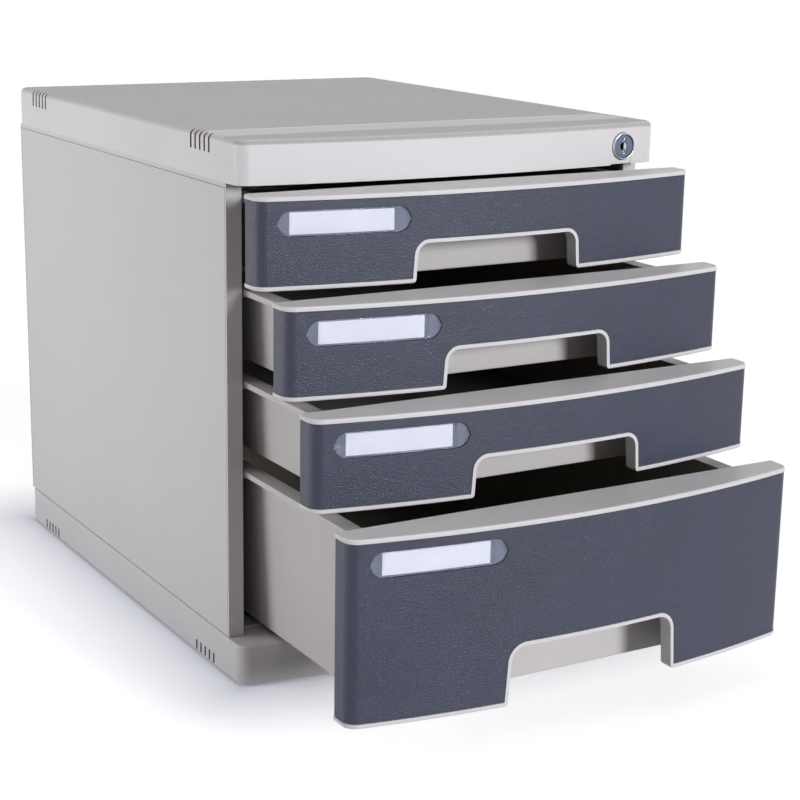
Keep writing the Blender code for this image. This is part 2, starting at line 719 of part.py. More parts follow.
def make_lock_barrel(cabinet):
    front = bezel_front()
    shoulder = -BEZEL_BACK
    chrome = finish("lock_chrome", (0.80, 0.81, 0.83), 0.12, 1.0)
    shape = rods(((LOCK_X, front, LOCK_Z), (LOCK_X, shoulder, LOCK_Z), BEZEL_RADIUS))
    barrel = piece("lock_barrel", shape, cabinet, chrome)
    body = rods(((LOCK_X, front / 2, LOCK_Z), (LOCK_X, BARREL_LENGTH, LOCK_Z), BARREL_RADIUS))
    combine(barrel, "UNION", body, "body")
    face_back = front + FACE_SUNK + FACE_THICKNESS + CLEARANCE
    wide = ((LOCK_X, front - FACE_THICKNESS, LOCK_Z), (LOCK_X, face_back, LOCK_Z))
    combine(barrel, "DIFFERENCE", rods((*wide, FACE_RADIUS + CLEARANCE)), "face_seat")
    thin = ((LOCK_X, front, LOCK_Z), (LOCK_X, 2 * BARREL_LENGTH, LOCK_Z))
    combine(barrel, "DIFFERENCE", rods((*thin, PLUG_RADIUS + CLEARANCE)), "bore")

    start = PAD_DEPTH + CLEARANCE
    across = ((LOCK_X, start, LOCK_Z), (LOCK_X, start + NUT_THICKNESS, LOCK_Z), NUT_RADIUS)
    nut = piece("lock_nut", rods(across, steps=6), cabinet, steel())
    thread = ((LOCK_X, 0, LOCK_Z), (LOCK_X, 2 * start + NUT_THICKNESS, LOCK_Z))
    combine(nut, "DIFFERENCE", rods((*thread, BARREL_RADIUS + CLEARANCE)), "thread")


def make_lock_plug(cabinet):
    """The plug and its cam, which turn together about the empty's Y axis."""
    turning = frame_at("lock_axis", (LOCK_X, 0, LOCK_Z), cabinet)
    face = bezel_front() + FACE_SUNK
    shape = rods(((0, face, 0), (0, face + FACE_THICKNESS, 0), FACE_RADIUS))
    plug = piece("lock_plug", shape, turning, finish("lock_face", (0.16, 0.19, 0.27), 0.3, 0.8))
    shank = rods(((0, face + FACE_THICKNESS / 2, 0), (0, PLUG_LENGTH, 0), PLUG_RADIUS))
    combine(plug, "UNION", shank, "shank")
    half = Vector((KEYWAY_WIDTH / 2, 0, KEYWAY_HEIGHT / 2))
    front = Vector((0, face - KEY_ROUND_DEPTH, 0))
    back = Vector((0, face + KEYWAY_DEPTH, 0))
    combine(plug, "DIFFERENCE", boxes((front - half, back + half)), "keyway")
    dish = rods(((0, face - KEY_ROUND_DEPTH, 0), (0, face + KEY_ROUND_DEPTH, 0), KEY_ROUND_RADIUS))
    combine(plug, "DIFFERENCE", dish, "key_guide")

    cam = rods(((0, CAM_FRONT, 0), (0, CAM_BACK, 0), CAM_RADIUS))
    cam_object = piece("lock_cam", cam, turning, steel())
    x = CRANK_RADIUS * math.cos(CRANK_START)
    z = CRANK_RADIUS * math.sin(CRANK_START)
    pin = rods(((x, (CAM_FRONT + CAM_BACK) / 2, z), (x, ARM_BACK + PIN_PAST, z), PIN_RADIUS))
    combine(cam_object, "UNION", pin, "crank_pin")


def make_lock_bar(cabinet):
    """The bar in the right side panel, with an arm to the cam and a lug for each drawer."""
    rise = CRANK_RADIUS * math.sin(CRANK_START)
    sliding = frame_at("lock_bar_slide", (0, 0, LOCK_Z + rise), cabinet)
    right = HOLLOW_OUTER - BAR_WALL_GAP
    left = right - BAR_THICKNESS
    tip = TUB_OUTER + LUG_WALL_GAP
    lugs, lowest = [], 0.0
    for index in range(DRAWER_COUNT):
        low = rim_height(index) + LUG_HIGH - LUG_HEIGHT - LOCK_Z - rise
        lugs.append(((tip, LUG_FRONT, low), (left + BAR_THICKNESS / 2, LUG_BACK, low + LUG_HEIGHT)))
        lowest = min(lowest, low)
    strip = ((left, ARM_FRONT, lowest), (right, ARM_FRONT + BAR_WIDTH, ARM_HALF_HEIGHT))
    bar = piece("lock_bar", boxes(strip), sliding, steel())
    combine(bar, "UNION", boxes(*lugs), "lugs")
    arm_low = (LOCK_X - CRANK_RADIUS, ARM_FRONT, -ARM_HALF_HEIGHT)
    arm_high = (left + BAR_THICKNESS / 2, ARM_BACK, ARM_HALF_HEIGHT)
    combine(bar, "UNION", boxes((arm_low, arm_high)), "arm")
    reach = PIN_RADIUS + CLEARANCE
    slot_low = (LOCK_X + CRANK_RADIUS * math.cos(CRANK_START) - reach, 0, -reach)
    slot_high = (LOCK_X + CRANK_RADIUS + reach, CASE_DEPTH, reach)
    combine(bar, "DIFFERENCE", boxes((slot_low, slot_high)), "crank_slot")


# Drawers


def make_front(name, drawer, height, notch):
    """The light moulded front: two plates, the wall behind the fascia and the notch's own wall."""
    plan = bowed_plan(FRONT_HALF, FRONT_BOW, FRONT_CORNER, FRONT_DEPTH)
    shape = raised(plan, height - RIM, height)

    def top_rim(edge):
        return at_height(height)(edge) and any(v.co.y < FRONT_DEPTH - 1e-6 for v in edge.verts)

    round_edges(shape, top_rim, RIM_ROUND, 2)
    front = piece(f"{name}_front", shape, drawer, light_plastic())
    combine(front, "UNION", raised(plan, 0, RIM), "lower_plate")
    wall = bowed_skin(RIM, RIM + FRONT_WALL, FRONT_DEPTH)
    combine(front, "UNION", raised(wall, RIM / 2, height - RIM / 2), "wall")
    behind = bowed_plan(FRONT_HALF, FRONT_BOW, FRONT_CORNER, FRONT_DEPTH, RIM_STEP)
    solid = raised(behind, RIM / 2, notch + RIM + FRONT_WALL)
    surround = combine(front, "UNION", solid, "notch_wall")
    limits = arch(
        NOTCH_HALF_WIDTH + RIM,
        -RIM,
        notch + RIM,
        -FRONT_DEPTH - FRONT_BOW,
        -NOTCH_WALL_BACK,
        NOTCH_CORNER + RIM,
    )
    combine(surround, "INTERSECT", limits, "limits")
    reach = FRONT_DEPTH + FRONT_BOW
    opening = arch(NOTCH_HALF_WIDTH, -height, notch, -2 * reach, 2 * reach, NOTCH_CORNER)
    combine(front, "DIFFERENCE", opening, "notch")

    z = height - FIXING_DROP
    start = bow_face(FRONT_HALF, FRONT_BOW, FIXING_X) + RIM + FRONT_WALL / 2
    end = tub_face(z, height - RIM_DROP) - CLEARANCE
    bosses = [((x, start, z), (x, end, z), SCREW_POST_RADIUS) for x in (-FIXING_X, FIXING_X)]
    combine(front, "UNION", rods(*bosses, steps=SCREW_STEPS), "bosses")
    depth = FIXING_SCREW_LENGTH + CLEARANCE
    bores = [
        ((x, end - depth, z), (x, end + depth, z), SCREW_RADIUS + CLEARANCE)
        for x in (-FIXING_X, FIXING_X)
    ]
    combine(front, "DIFFERENCE", rods(*bores, steps=SCREW_STEPS), "screw_bores")


def make_fascia(name, drawer, height, notch):
    """The dark skin over the front, wrapped round its ends, with the notch and the label's window cut."""
    outer, inner = FASCIA_SUNK, FASCIA_SUNK + FASCIA_THICKNESS
    skin = bowed_skin(outer, inner, FRONT_DEPTH - CLEARANCE)
    shape = raised(skin, RIM + CLEARANCE, height - RIM - CLEARANCE)
    fascia = piece(f"{name}_fascia", shape, drawer, finish("fascia", (0.095, 0.105, 0.155), 0.6))
    gap = RIM + CLEARANCE
    opening = arch(
        NOTCH_HALF_WIDTH + gap, -height, notch + gap, -height, height, NOTCH_CORNER + gap
    )
    combine(fascia, "DIFFERENCE", opening, "notch")
    centre = (LABEL_CENTRE_X, height - LABEL_DROP)
    hole = stadium(centre, LABEL_WIDTH + 2 * CLEARANCE, LABEL_HEIGHT + 2 * CLEARANCE)
    combine(fascia, "DIFFERENCE", drawn_back(hole, -height, 0), "label_hole")


def make_label(name, drawer, height):
    centre = (LABEL_CENTRE_X, height - LABEL_DROP)
    low, high = centre[1] - LABEL_HEIGHT, centre[1] + LABEL_HEIGHT
    outer = FASCIA_SUNK + WINDOW_SUNK
    skin = bowed_skin(outer, outer + WINDOW_THICKNESS, FRONT_DEPTH)
    clear = finish("clear_window", (0.85, 0.88, 0.92), 0.1, alpha=0.35)
    window = piece(f"{name}_label_window", raised(skin, low, high), drawer, clear)
    outline = stadium(centre, LABEL_WIDTH, LABEL_HEIGHT)
    combine(window, "INTERSECT", drawn_back(outline, -height, 0), "outline")

    inner = RIM - CLEARANCE
    skin = bowed_skin(inner - CARD_THICKNESS, inner, FRONT_DEPTH)
    paper = finish("label_paper", (0.85, 0.86, 0.92), 0.7)
    card = piece(f"{name}_label_card", raised(skin, low, high), drawer, paper)
    half = Vector((CARD_WIDTH / 2, height, CARD_HEIGHT / 2))
    middle = Vector((CARD_CENTRE_X, -height, centre[1]))
    combine(card, "INTERSECT", boxes((middle - half, middle + half)), "outline")


def tub_ring(height, rim, wall):
    """The tub's plan at one height, on its outer face or one wall further in, with its draft."""
    drop = rim - height
    side = TUB_OUTER - wall - drop * math.tan(SIDE_DRAFT)
    end = drop * math.tan(END_DRAFT) + wall
    return rounded_ring(side, TUB_FRONT + end, TUB_BACK - end, TUB_CORNER - wall, height)


def make_tub(name, drawer, height):
    """A drafted box with flanges along its rim, which hang on the runner panels' ledges."""
    rim = height - RIM_DROP
    rings = [
        tub_ring(TUB_FLOOR, rim, TUB_WALL),
        tub_ring(rim, rim, TUB_WALL),
        tub_ring(rim, rim, 0),
        tub_ring(0, rim, 0),
    ]
    tub = piece(f"{name}_tub", loft(rings), drawer, light_plastic())
    for side, hint in ((-1, "left_flange"), (1, "right_flange")):
        inner = TUB_INNER + TUB_WALL / 2
        lip = FLANGE_OUTER - LIP_THICKNESS
        profile = [
            (inner, rim),
            (inner, rim - FLANGE_THICKNESS),
            (lip, rim - FLANGE_THICKNESS),
            (lip, rim - LIP_HEIGHT),
            (FLANGE_OUTER, rim - LIP_HEIGHT),
            (FLANGE_OUTER, rim),
        ]
        flange = drawn_back([(side * x, z) for x, z in profile], TUB_FRONT, TUB_BACK)
        combine(tub, "UNION", flange, hint)
    tabs = []
    for side in (-1, 1):
        left, right = spread(side, FLANGE_OUTER - STOP_WIDTH, FLANGE_OUTER)
        low = (left, TUB_BACK - STOP_LENGTH, rim - FLANGE_THICKNESS / 2)
        tabs.append((low, (right, TUB_BACK, rim + STOP_HEIGHT)))
    drafted = TUB_OUTER + LUG_LOWEST * math.tan(SIDE_DRAFT)
    catch_low = (drafted - TUB_WALL / 2, CATCH_FRONT, rim + LUG_LOWEST)
    catch_high = (TUB_OUTER + CATCH_REACH, CATCH_FRONT + CATCH_LENGTH, rim + CATCH_HIGH)
    tabs.append((catch_low, catch_high))
    combine(tub, "UNION", boxes(*tabs), "tabs")

    z = height - FIXING_DROP
    places = {"left": -FIXING_X, "right": FIXING_X}
    holes = [((x, 0, z), (x, 2 * TUB_FRONT, z), SCREW_RADIUS + CLEARANCE) for x in places.values()]
    combine(tub, "DIFFERENCE", rods(*holes, steps=SCREW_STEPS), "screw_holes")
    seat = tub_face(z, rim) + TUB_WALL + SCREW_HEAD_RADIUS * math.tan(END_DRAFT) + CLEARANCE
    for hand, x in places.items():
        make_screw(drawer, f"{name}_front_screw_{hand}", (x, seat, z), (0, -1, 0), FIXING_SCREW_LENGTH)


def make_drawer(cabinet, index):
    name = f"drawer_{index + 1}"
    place = (0, SHUT_PLANE - OPEN_NOW[index], drawer_low(index))
    drawer = frame_at(f"{name}_slide", place, cabinet)
    height = DRAWER_HEIGHTS[index]
    make_tub(name, drawer, height)
    make_front(name, drawer, height, NOTCH_HEIGHTS[index])
    make_fascia(name, drawer, height, NOTCH_HEIGHTS[index])
    make_label(name, drawer, height)


def main():
    for old in list(bpy.data.objects):
        bpy.data.objects.remove(old)
    cabinet = frame_at("cabinet", (0, CASE_Y, FOOT_PROUD))
    make_top_cover(cabinet)
    make_base(cabinet)
    for name, side in (("left", -1), ("right", 1)):
        make_side_panel(cabinet, name, side)
        make_runner_panel(cabinet, name, side)
    make_back_panel(cabinet)
    make_feet(cabinet)
    make_screws(cabinet)
    make_lock_barrel(cabinet)
    make_lock_plug(cabinet)
    make_lock_bar(cabinet)
    for index in range(DRAWER_COUNT):
        make_drawer(cabinet, index)


main()
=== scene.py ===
# %% [markdown]
# # A desktop file drawer
#
# This lesson dresses a finished CAD model of a small office cabinet: a lid with a cam lock, a base,
# two side panels whose front edges are the posts, and four drawers with bowed fronts. The CAD
# model gives every piece its place. Here the pieces that show get rounder edges, finer grooves
# and moulded-plastic finishes. Everything is in metres: X to the right, the front towards -Y, Z up.

from types import SimpleNamespace
from math import asin, cos, pi, radians, sin, sqrt, tan

import bmesh
import bpy
from mathutils import Matrix, Vector


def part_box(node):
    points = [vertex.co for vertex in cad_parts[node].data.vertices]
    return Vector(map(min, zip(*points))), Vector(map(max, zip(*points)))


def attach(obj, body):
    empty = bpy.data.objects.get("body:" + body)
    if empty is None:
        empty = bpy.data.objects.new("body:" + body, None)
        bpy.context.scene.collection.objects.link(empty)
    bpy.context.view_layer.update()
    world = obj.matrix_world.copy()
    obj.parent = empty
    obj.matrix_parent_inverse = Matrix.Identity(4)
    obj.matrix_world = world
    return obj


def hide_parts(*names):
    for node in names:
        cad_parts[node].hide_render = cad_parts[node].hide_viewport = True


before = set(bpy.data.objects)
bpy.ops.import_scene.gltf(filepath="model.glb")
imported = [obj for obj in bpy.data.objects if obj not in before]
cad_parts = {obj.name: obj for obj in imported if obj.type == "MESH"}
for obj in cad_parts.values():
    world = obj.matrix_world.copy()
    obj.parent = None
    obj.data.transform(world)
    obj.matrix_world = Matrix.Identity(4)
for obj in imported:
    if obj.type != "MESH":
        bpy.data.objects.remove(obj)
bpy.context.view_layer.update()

# %% [markdown]
# ## Drawing outlines
#
# The lid, the base and the drawer fronts share one idea: a plan with straight sides, round corners
# and a bowed front. A pen does it well. One vertex is the pen's tip, extruding it draws a
# straight line, and spinning it about a centre draws an arc, so no coordinates are listed by hand.

# %% A pen made of bmesh operators
UP = (0, 0, 1)
DEPTHWAYS = (0, 1, 0)


def pen_down(x, y, z):
    """A new bmesh with the pen's first vertex."""
    bm = bmesh.new()
    return bm, bm.verts.new((x, y, z))


def line_to(bm, tip, x, y):
    drawn = bmesh.ops.extrude_vert_indiv(bm, verts=[tip])["verts"][0]
    drawn.co.xy = x, y
    return drawn


def swing_about(bm, tip, centre, axis, angle, steps):
    """Draws an arc about an axis through the centre and returns the pen's new tip."""
    spun = bmesh.ops.spin(bm, geom=[tip], cent=centre, axis=axis, angle=angle, steps=steps)
    return next(item for item in spun["geom_last"] if isinstance(item, bmesh.types.BMVert))


def swing_round(bm, tip, x, y, angle, steps):
    return swing_about(bm, tip, (x, y, tip.co.z), UP, angle, steps)


def close_and_fill(bm, tip, first):
    bm.edges.new((tip, first))
    bmesh.ops.edgeloop_fill(bm, edges=bm.edges[:])


def push(bm, faces, along):
    """Extrudes faces along a vector and returns the new end faces."""
    pushed = bmesh.ops.extrude_face_region(bm, geom=faces)["geom"]
    verts = [item for item in pushed if isinstance(item, bmesh.types.BMVert)]
    bmesh.ops.translate(bm, verts=verts, vec=along)
    return [item for item in pushed if isinstance(item, bmesh.types.BMFace)]


def make_solid(bm, along):
    """Pushes a filled plan along a vector and turns all faces outwards."""
    push(bm, bm.faces[:], along)
    bmesh.ops.recalc_face_normals(bm, faces=bm.faces[:])
    return bm


# %% The bowed plan
BOW_STEPS = 40
CORNER_STEPS = 8


def bow_radius(half_width, bow):
    return (half_width**2 + bow**2) / (2 * bow)


def bow_face(half_width, bow, x):
    """How far a bowed face lies behind its corner line at x (negative is in front)."""
    radius = bow_radius(half_width, bow)
    return radius - bow - sqrt(radius**2 - x**2)


def bowed_plan(half_width, bow, corner, front, depth, low, inset=0.0, back_corner=0.0):
    """A filled plan with a bowed front. Its sharp corners would lie on the line y = front."""
    radius = bow_radius(half_width, bow)
    centre_y = front + radius - bow
    corner_x = half_width - corner
    corner_y = centre_y - sqrt((radius - corner) ** 2 - corner_x**2)
    swing = asin(corner_x / (radius - corner))
    side, back = half_width - inset, front + depth
    bm, first = pen_down(-side, corner_y, low)
    tip = swing_round(bm, first, -corner_x, corner_y, pi / 2 - swing, CORNER_STEPS)
    tip = swing_round(bm, tip, 0, centre_y, 2 * swing, BOW_STEPS)
    tip = swing_round(bm, tip, corner_x, corner_y, pi / 2 - swing, CORNER_STEPS)
    turn = max(back_corner - inset, 0)
    tip = line_to(bm, tip, side, back - turn)
    if turn:
        tip = swing_round(bm, tip, side - turn, back - turn, pi / 2, CORNER_STEPS)
    tip = line_to(bm, tip, -side + turn, back)
    if turn:
        tip = swing_round(bm, tip, -side + turn, back - turn, pi / 2, CORNER_STEPS)
    close_and_fill(bm, tip, first)
    return bm


# %% Blocks, rods and rounded edges
def add_block(bm, low, high):
    low, high = Vector(low), Vector(high)
    size = Matrix.Diagonal((*(high - low), 1))
    return bmesh.ops.create_cube(bm, size=1, matrix=Matrix.Translation((low + high) / 2) @ size)


def block(low, high):
    return blocks((low, high))


def blocks(*corners):
    bm = bmesh.new()
    for low, high in corners:
        add_block(bm, low, high)
    return bm


def rods(*ends, steps=32):
    """Rods between pairs of points, each given as (start, end, radius)."""
    bm = bmesh.new()
    for start, end, radius in ends:
        start, end = Vector(start), Vector(end)
        turn = (end - start).to_track_quat("Z", "Y").to_matrix().to_4x4()
        bmesh.ops.create_cone(
            bm,
            cap_ends=True,
            segments=steps,
            radius1=radius,
            radius2=radius,
            depth=(end - start).length,
            matrix=Matrix.Translation((start + end) / 2) @ turn,
        )
    return bm


def upright(x, y, low, high, radius):
    """The ends and the radius of a rod along Z."""
    return (x, y, low), (x, y, high), radius


def lengthwise(x, z, front, back, radius):
    """The ends and the radius of a rod along Y."""
    return (x, front, z), (x, back, z), radius


def side_corners(side, inner, outer, front, back, low, high):
    """The corners of a block at the left (-1) or at the right (1)."""
    a, b = sorted((side * inner, side * outer))
    return (a, front, low), (b, back, high)


def round_over(bm, wanted, radius, segments):
    """Bevels the edges that the test picks."""
    bmesh.ops.bevel(
        bm,
        geom=[edge for edge in bm.edges if wanted(edge)],
        offset=radius,
        segments=segments,
        profile=0.5,
        affect="EDGES",
        material=-1,
    )
    return bm


NEAR = 1e-6


def level_at(height):
    return lambda edge: all(abs(vert.co.z - height) < NEAR for vert in edge.verts)


def along_y(edge):
    a, b = (vert.co for vert in edge.verts)
    return abs(a.x - b.x) < NEAR and abs(a.z - b.z) < NEAR


# %% [markdown]
# ## From bmesh to finished piece
#
# A moulded piece is a body with things cut from it and added to it, which is what Booleans do.
# Each helper shape is added as a Boolean modifier, and then the piece is settled: its modifiers
# are worked out once into a plain mesh and the helpers go. A fine Bevel and a Weighted Normal
# modifier stay on it, because every moulded edge has a small round that catches the light.
#
# Every piece starts with two empty finish slots. The faces that a cut leaves can be told to use the
# second one, so the inside of a tub can carry painted shade, darker than its outside, although it
# is one mesh.

# %% Making and carving pieces
FINISH_SLOTS = 2


def new_piece(name, bm):
    mesh = bpy.data.meshes.new(name)
    bm.to_mesh(mesh)
    bm.free()
    for _ in range(FINISH_SLOTS):
        mesh.materials.append(None)
    piece = bpy.data.objects.new(name, mesh)
    bpy.context.scene.collection.objects.link(piece)
    return piece


def carve(target, operation, bm):
    """Queues a Boolean with a helper shape."""
    helper = new_piece(f"{target.name}_helper", bm)
    helper.hide_render = True
    step = target.modifiers.new(operation, "BOOLEAN")
    step.operation = operation
    step.solver = "EXACT"
    step.object = helper
    return helper


def cut(target, bm):
    return carve(target, "DIFFERENCE", bm)


def hollow(target, bm):
    """A cut whose inner faces take the piece's second finish: painted shade in the lid, the base and
    the tubs, and painted light in the label pocket.
    """
    for face in bm.faces:
        face.material_index = 1
    return cut(target, bm)


def join(target, bm):
    return carve(target, "UNION", bm)


def keep_inside(target, bm):
    return carve(target, "INTERSECT", bm)


# %% Settling and softening them
SHARP = radians(32)
MERGE_DISTANCE = 2e-6
FINE_ROUND = 0.00025
EDGE_ROUND = 0.0003
WIDE_ROUND = 0.0004


def settle(piece):
    """Works out the queued Booleans into a plain mesh and removes their helpers."""
    helpers = [step.object for step in piece.modifiers]
    deeper = [step.object for other in helpers for step in other.modifiers]
    graph = bpy.context.evaluated_depsgraph_get()
    mesh = bpy.data.meshes.new_from_object(piece.evaluated_get(graph))
    piece.modifiers.clear()
    piece.data = mesh
    for helper in helpers + deeper:
        bpy.data.objects.remove(helper)
    return piece


def soften(piece, width, segments=3):
    """Small rounds on all sharp edges, and shading that keeps flat faces flat."""
    bm = bmesh.new()
    bm.from_mesh(piece.data)
    bmesh.ops.remove_doubles(bm, verts=bm.verts[:], dist=MERGE_DISTANCE)
    bmesh.ops.dissolve_degenerate(bm, edges=bm.edges[:], dist=MERGE_DISTANCE)
    bm.to_mesh(piece.data)
    bm.free()
    piece.data.shade_smooth()
    if width:
        rounds = piece.modifiers.new("rounds", "BEVEL")
        rounds.width = width
        rounds.segments = segments
        rounds.limit_method = "ANGLE"
        rounds.angle_limit = SHARP
        rounds.use_clamp_overlap = True
        rounds.miter_outer = "MITER_ARC"
    normals = piece.modifiers.new("flat_faces", "WEIGHTED_NORMAL")
    normals.keep_sharp = True
    return piece


# %% Giving a piece its finish, its body and its place in the CAD model
def finish_with(piece, *finishes):
    """Fills the piece's two finish slots, or drops the second one."""
    if len(finishes) == 1:
        piece.data.materials.pop(index=1)
    for index, finish in enumerate(finishes):
        piece.data.materials[index] = finish


def stand_for(piece, node, body, slot, *finishes):
    """Gives a piece its finish and its body, and hides the CAD node that it stands for."""
    finish_with(piece, *finishes)
    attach(piece, body)
    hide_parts(node)
    print(f"{piece.name}: {len(piece.data.polygons)} faces, stands for {node}")
    return piece


# %% [markdown]
# ## Finishes
#
# The cabinet is moulded plastic. Three effects make plastic look moulded: a fine stipple that the
# mould was etched with, a leather-like grain on the dark fascias, and a very faint mottle. Each is
# a node group with named inputs, built once and used in several materials at its own scale.

# %% Building node groups
def new_group(name, inputs, outputs):
    """An empty shader node group with float inputs and outputs."""
    group = bpy.data.node_groups.new(name, "ShaderNodeTree")
    for socket, value in inputs.items():
        made = group.interface.new_socket(socket, in_out="INPUT", socket_type="NodeSocketFloat")
        made.default_value = value
    for socket in outputs:
        group.interface.new_socket(socket, in_out="OUTPUT", socket_type="NodeSocketFloat")
    return group, group.nodes.new("NodeGroupInput"), group.nodes.new("NodeGroupOutput")


def node(tree, kind, settings=None, **inputs):
    """A node with its settings and inputs (i0 is input 0). A socket given as an input is linked."""
    made = tree.nodes.new(kind)
    for key, value in (settings or {}).items():
        setattr(made, key, value)
    for key, value in inputs.items():
        by_number = key[0] == "i" and key[1:].isdigit()
        socket = made.inputs[int(key[1:]) if by_number else key]
        if isinstance(value, bpy.types.NodeSocket):
            tree.links.new(value, socket)
        else:
            socket.default_value = value
    return made


def math(tree, operation, a, b=0.0):
    return node(tree, "ShaderNodeMath", {"operation": operation}, i0=a, i1=b).outputs[0]


def spread_range(tree, value, low, high, new_low=0.0, new_high=1.0):
    """Maps the span from low to high onto a new one and holds it at both ends."""
    ranged = node(
        tree,
        "ShaderNodeMapRange",
        Value=value,
        **{"From Min": low, "From Max": high, "To Min": new_low, "To Max": new_high},
    )
    return ranged.outputs["Result"]


def object_place(tree):
    return tree.nodes.new("ShaderNodeTexCoord").outputs["Object"]


# %% Stipple: the etched texture of moulded plastic
STIPPLE_SPAN = (0.32, 0.68)

stipple, stipple_in, stipple_out = new_group(
    "etched_stipple", {"Scale": 1500.0, "Coarseness": 0.5}, ["Height"]
)
fine = node(
    stipple,
    "ShaderNodeTexNoise",
    Vector=object_place(stipple),
    Scale=stipple_in.outputs["Scale"],
    Detail=2.0,
    Roughness=stipple_in.outputs["Coarseness"],
)
etched = spread_range(stipple, fine.outputs[0], *STIPPLE_SPAN)
stipple.links.new(etched, stipple_out.inputs["Height"])

# %% Leather grain: small rounded cells, pulled out of line by noise
CELL_RIM = 0.22

grain, grain_in, grain_out = new_group(
    "leather_grain", {"Scale": 700.0, "Wander": 0.0006}, ["Height", "Crease"]
)
where, wander = object_place(grain), grain_in.outputs["Wander"]
drift = node(grain, "ShaderNodeTexNoise", Vector=where, Scale=260.0, Detail=2.0).outputs["Color"]
halves = (0.5, 0.5, 0.5)
centred = node(grain, "ShaderNodeVectorMath", {"operation": "SUBTRACT"}, i0=drift, i1=halves)
pulled = node(
    grain, "ShaderNodeVectorMath", {"operation": "SCALE"}, i0=centred.outputs[0], Scale=wander
)
moved = node(grain, "ShaderNodeVectorMath", {"operation": "ADD"}, i0=where, i1=pulled.outputs[0])
cells = node(
    grain,
    "ShaderNodeTexVoronoi",
    {"feature": "DISTANCE_TO_EDGE"},
    Vector=moved.outputs[0],
    Scale=grain_in.outputs["Scale"],
)
bulge = spread_range(grain, cells.outputs["Distance"], 0.0, CELL_RIM)
grain.links.new(bulge, grain_out.inputs["Height"])
grain.links.new(math(grain, "SUBTRACT", 1.0, bulge), grain_out.inputs["Crease"])

# %% Mottle: slow, faint changes over a hand's width
MOTTLE_SPAN = (0.3, 0.7)

mottle, mottle_in, mottle_out = new_group("moulding_mottle", {"Scale": 14.0}, ["Amount"])
slow = node(
    mottle,
    "ShaderNodeTexNoise",
    Vector=object_place(mottle),
    Scale=mottle_in.outputs["Scale"],
    Detail=3.0,
)
drifting = spread_range(mottle, slow.outputs[0], *MOTTLE_SPAN)
mottle.links.new(drifting, mottle_out.inputs["Amount"])
print("node groups:", [group.name for group in bpy.data.node_groups])


# %% [markdown]
# A material is a Principled shader whose colour drifts between two close tones and whose normal
# comes from one of the groups. The same function makes all the plastics, and only the numbers
# change. The insides are browner and darker than the outsides, which is painted shade.

# %% Making materials
def use_group(tree, group, **inputs):
    made = tree.nodes.new("ShaderNodeGroup")
    made.node_tree = group
    for key, value in inputs.items():
        made.inputs[key].default_value = value
    return made


def patches(tree, scale):
    return use_group(tree, mottle, Scale=scale).outputs["Amount"]


def dots(tree, scale, coarseness=0.5):
    return use_group(tree, stipple, Scale=scale, Coarseness=coarseness).outputs["Height"]


def feed(shader, socket, value):
    """Links a value to one of the shader's sockets."""
    shader.id_data.links.new(value, shader.inputs[socket])


def blank_material(name, roughness, metallic=0.0):
    material = bpy.data.materials.new(name)
    material.use_nodes = True
    shader = material.node_tree.nodes["Principled BSDF"]
    shader.inputs["Roughness"].default_value = roughness
    shader.inputs["Metallic"].default_value = metallic
    print("finish:", name)
    return material, material.node_tree, shader


def shade(tone, level):
    return [channel * level for channel in tone]


def two_tones(tree, mask, first, second, blend="MIX"):
    """Mixes two tones, each a plain colour or a socket."""
    first, second = (
        tone if isinstance(tone, bpy.types.NodeSocket) else (*tone, 1) for tone in (first, second)
    )
    settings = {"data_type": "RGBA", "blend_type": blend}
    return node(tree, "ShaderNodeMix", settings, i0=mask, i6=first, i7=second).outputs[2]


def bump(tree, shader, height, distance):
    bumped = node(tree, "ShaderNodeBump", Height=height, Strength=1.0, Distance=distance)
    feed(shader, "Normal", bumped.outputs["Normal"])


# %% The recipe of a moulded plastic
MOTTLE_SCALE = 14.0
PLASTIC_GLOSS = 0.3
ROUGHNESS_SWING = 0.05


def moulded(name, colour, roughness, scale, depth, drift=0.03):
    """Moulded plastic: a tone that drifts slightly, and an etched stipple."""
    material, tree, shader = blank_material(name, roughness)
    shader.inputs["Specular IOR Level"].default_value = PLASTIC_GLOSS
    darker, lighter = shade(colour, 1 - drift), shade(colour, 1 + drift)
    feed(shader, "Base Color", two_tones(tree, patches(tree, MOTTLE_SCALE), darker, lighter))
    etched = dots(tree, scale)
    swing = roughness + ROUGHNESS_SWING, roughness - ROUGHNESS_SWING
    feed(shader, "Roughness", spread_range(tree, etched, 0.0, 1.0, *swing))
    bump(tree, shader, etched, depth)
    return material


# %% The plastics of the case
SIDE_TONE = (0.555, 0.535, 0.545)
FRONT_TONE = (0.62, 0.61, 0.62)
LID_TONE = (0.60, 0.585, 0.595)
TUB_TONE = (0.52, 0.495, 0.49)

side_plastic = moulded("side_plastic", SIDE_TONE, 0.48, 1800.0, 0.00004, drift=0.012)
front_plastic = moulded("front_plastic", FRONT_TONE, 0.38, 2200.0, 0.00003)
base_plastic = moulded("base_plastic", SIDE_TONE, 0.48, 1800.0, 0.00005)
tub_plastic = moulded("tub_plastic", TUB_TONE, 0.45, 1500.0, 0.00003)
back_plastic = moulded("back_plastic", SIDE_TONE, 0.5, 1600.0, 0.00004)
# Painted shade: the runner panels inside the case get this dark tone.
runner_plastic = moulded("runner_plastic", (0.16, 0.155, 0.15), 0.5, 1200.0, 0.00004)
# Painted shade: the insides of the tubs get this darker, browner tone.
tub_painted_shade = moulded("tub_painted_shade", (0.36, 0.335, 0.295), 0.6, 1200.0, 0.00004)
# Painted shade: the insides and vent slots of the lid and the base get this darker, browner tone.
case_painted_shade = moulded("case_painted_shade", (0.33, 0.285, 0.24), 0.6, 1200.0, 0.00004)
foot_rubber = moulded("foot_rubber", (0.028, 0.028, 0.03), 0.8, 900.0, 0.00008, drift=0.1)

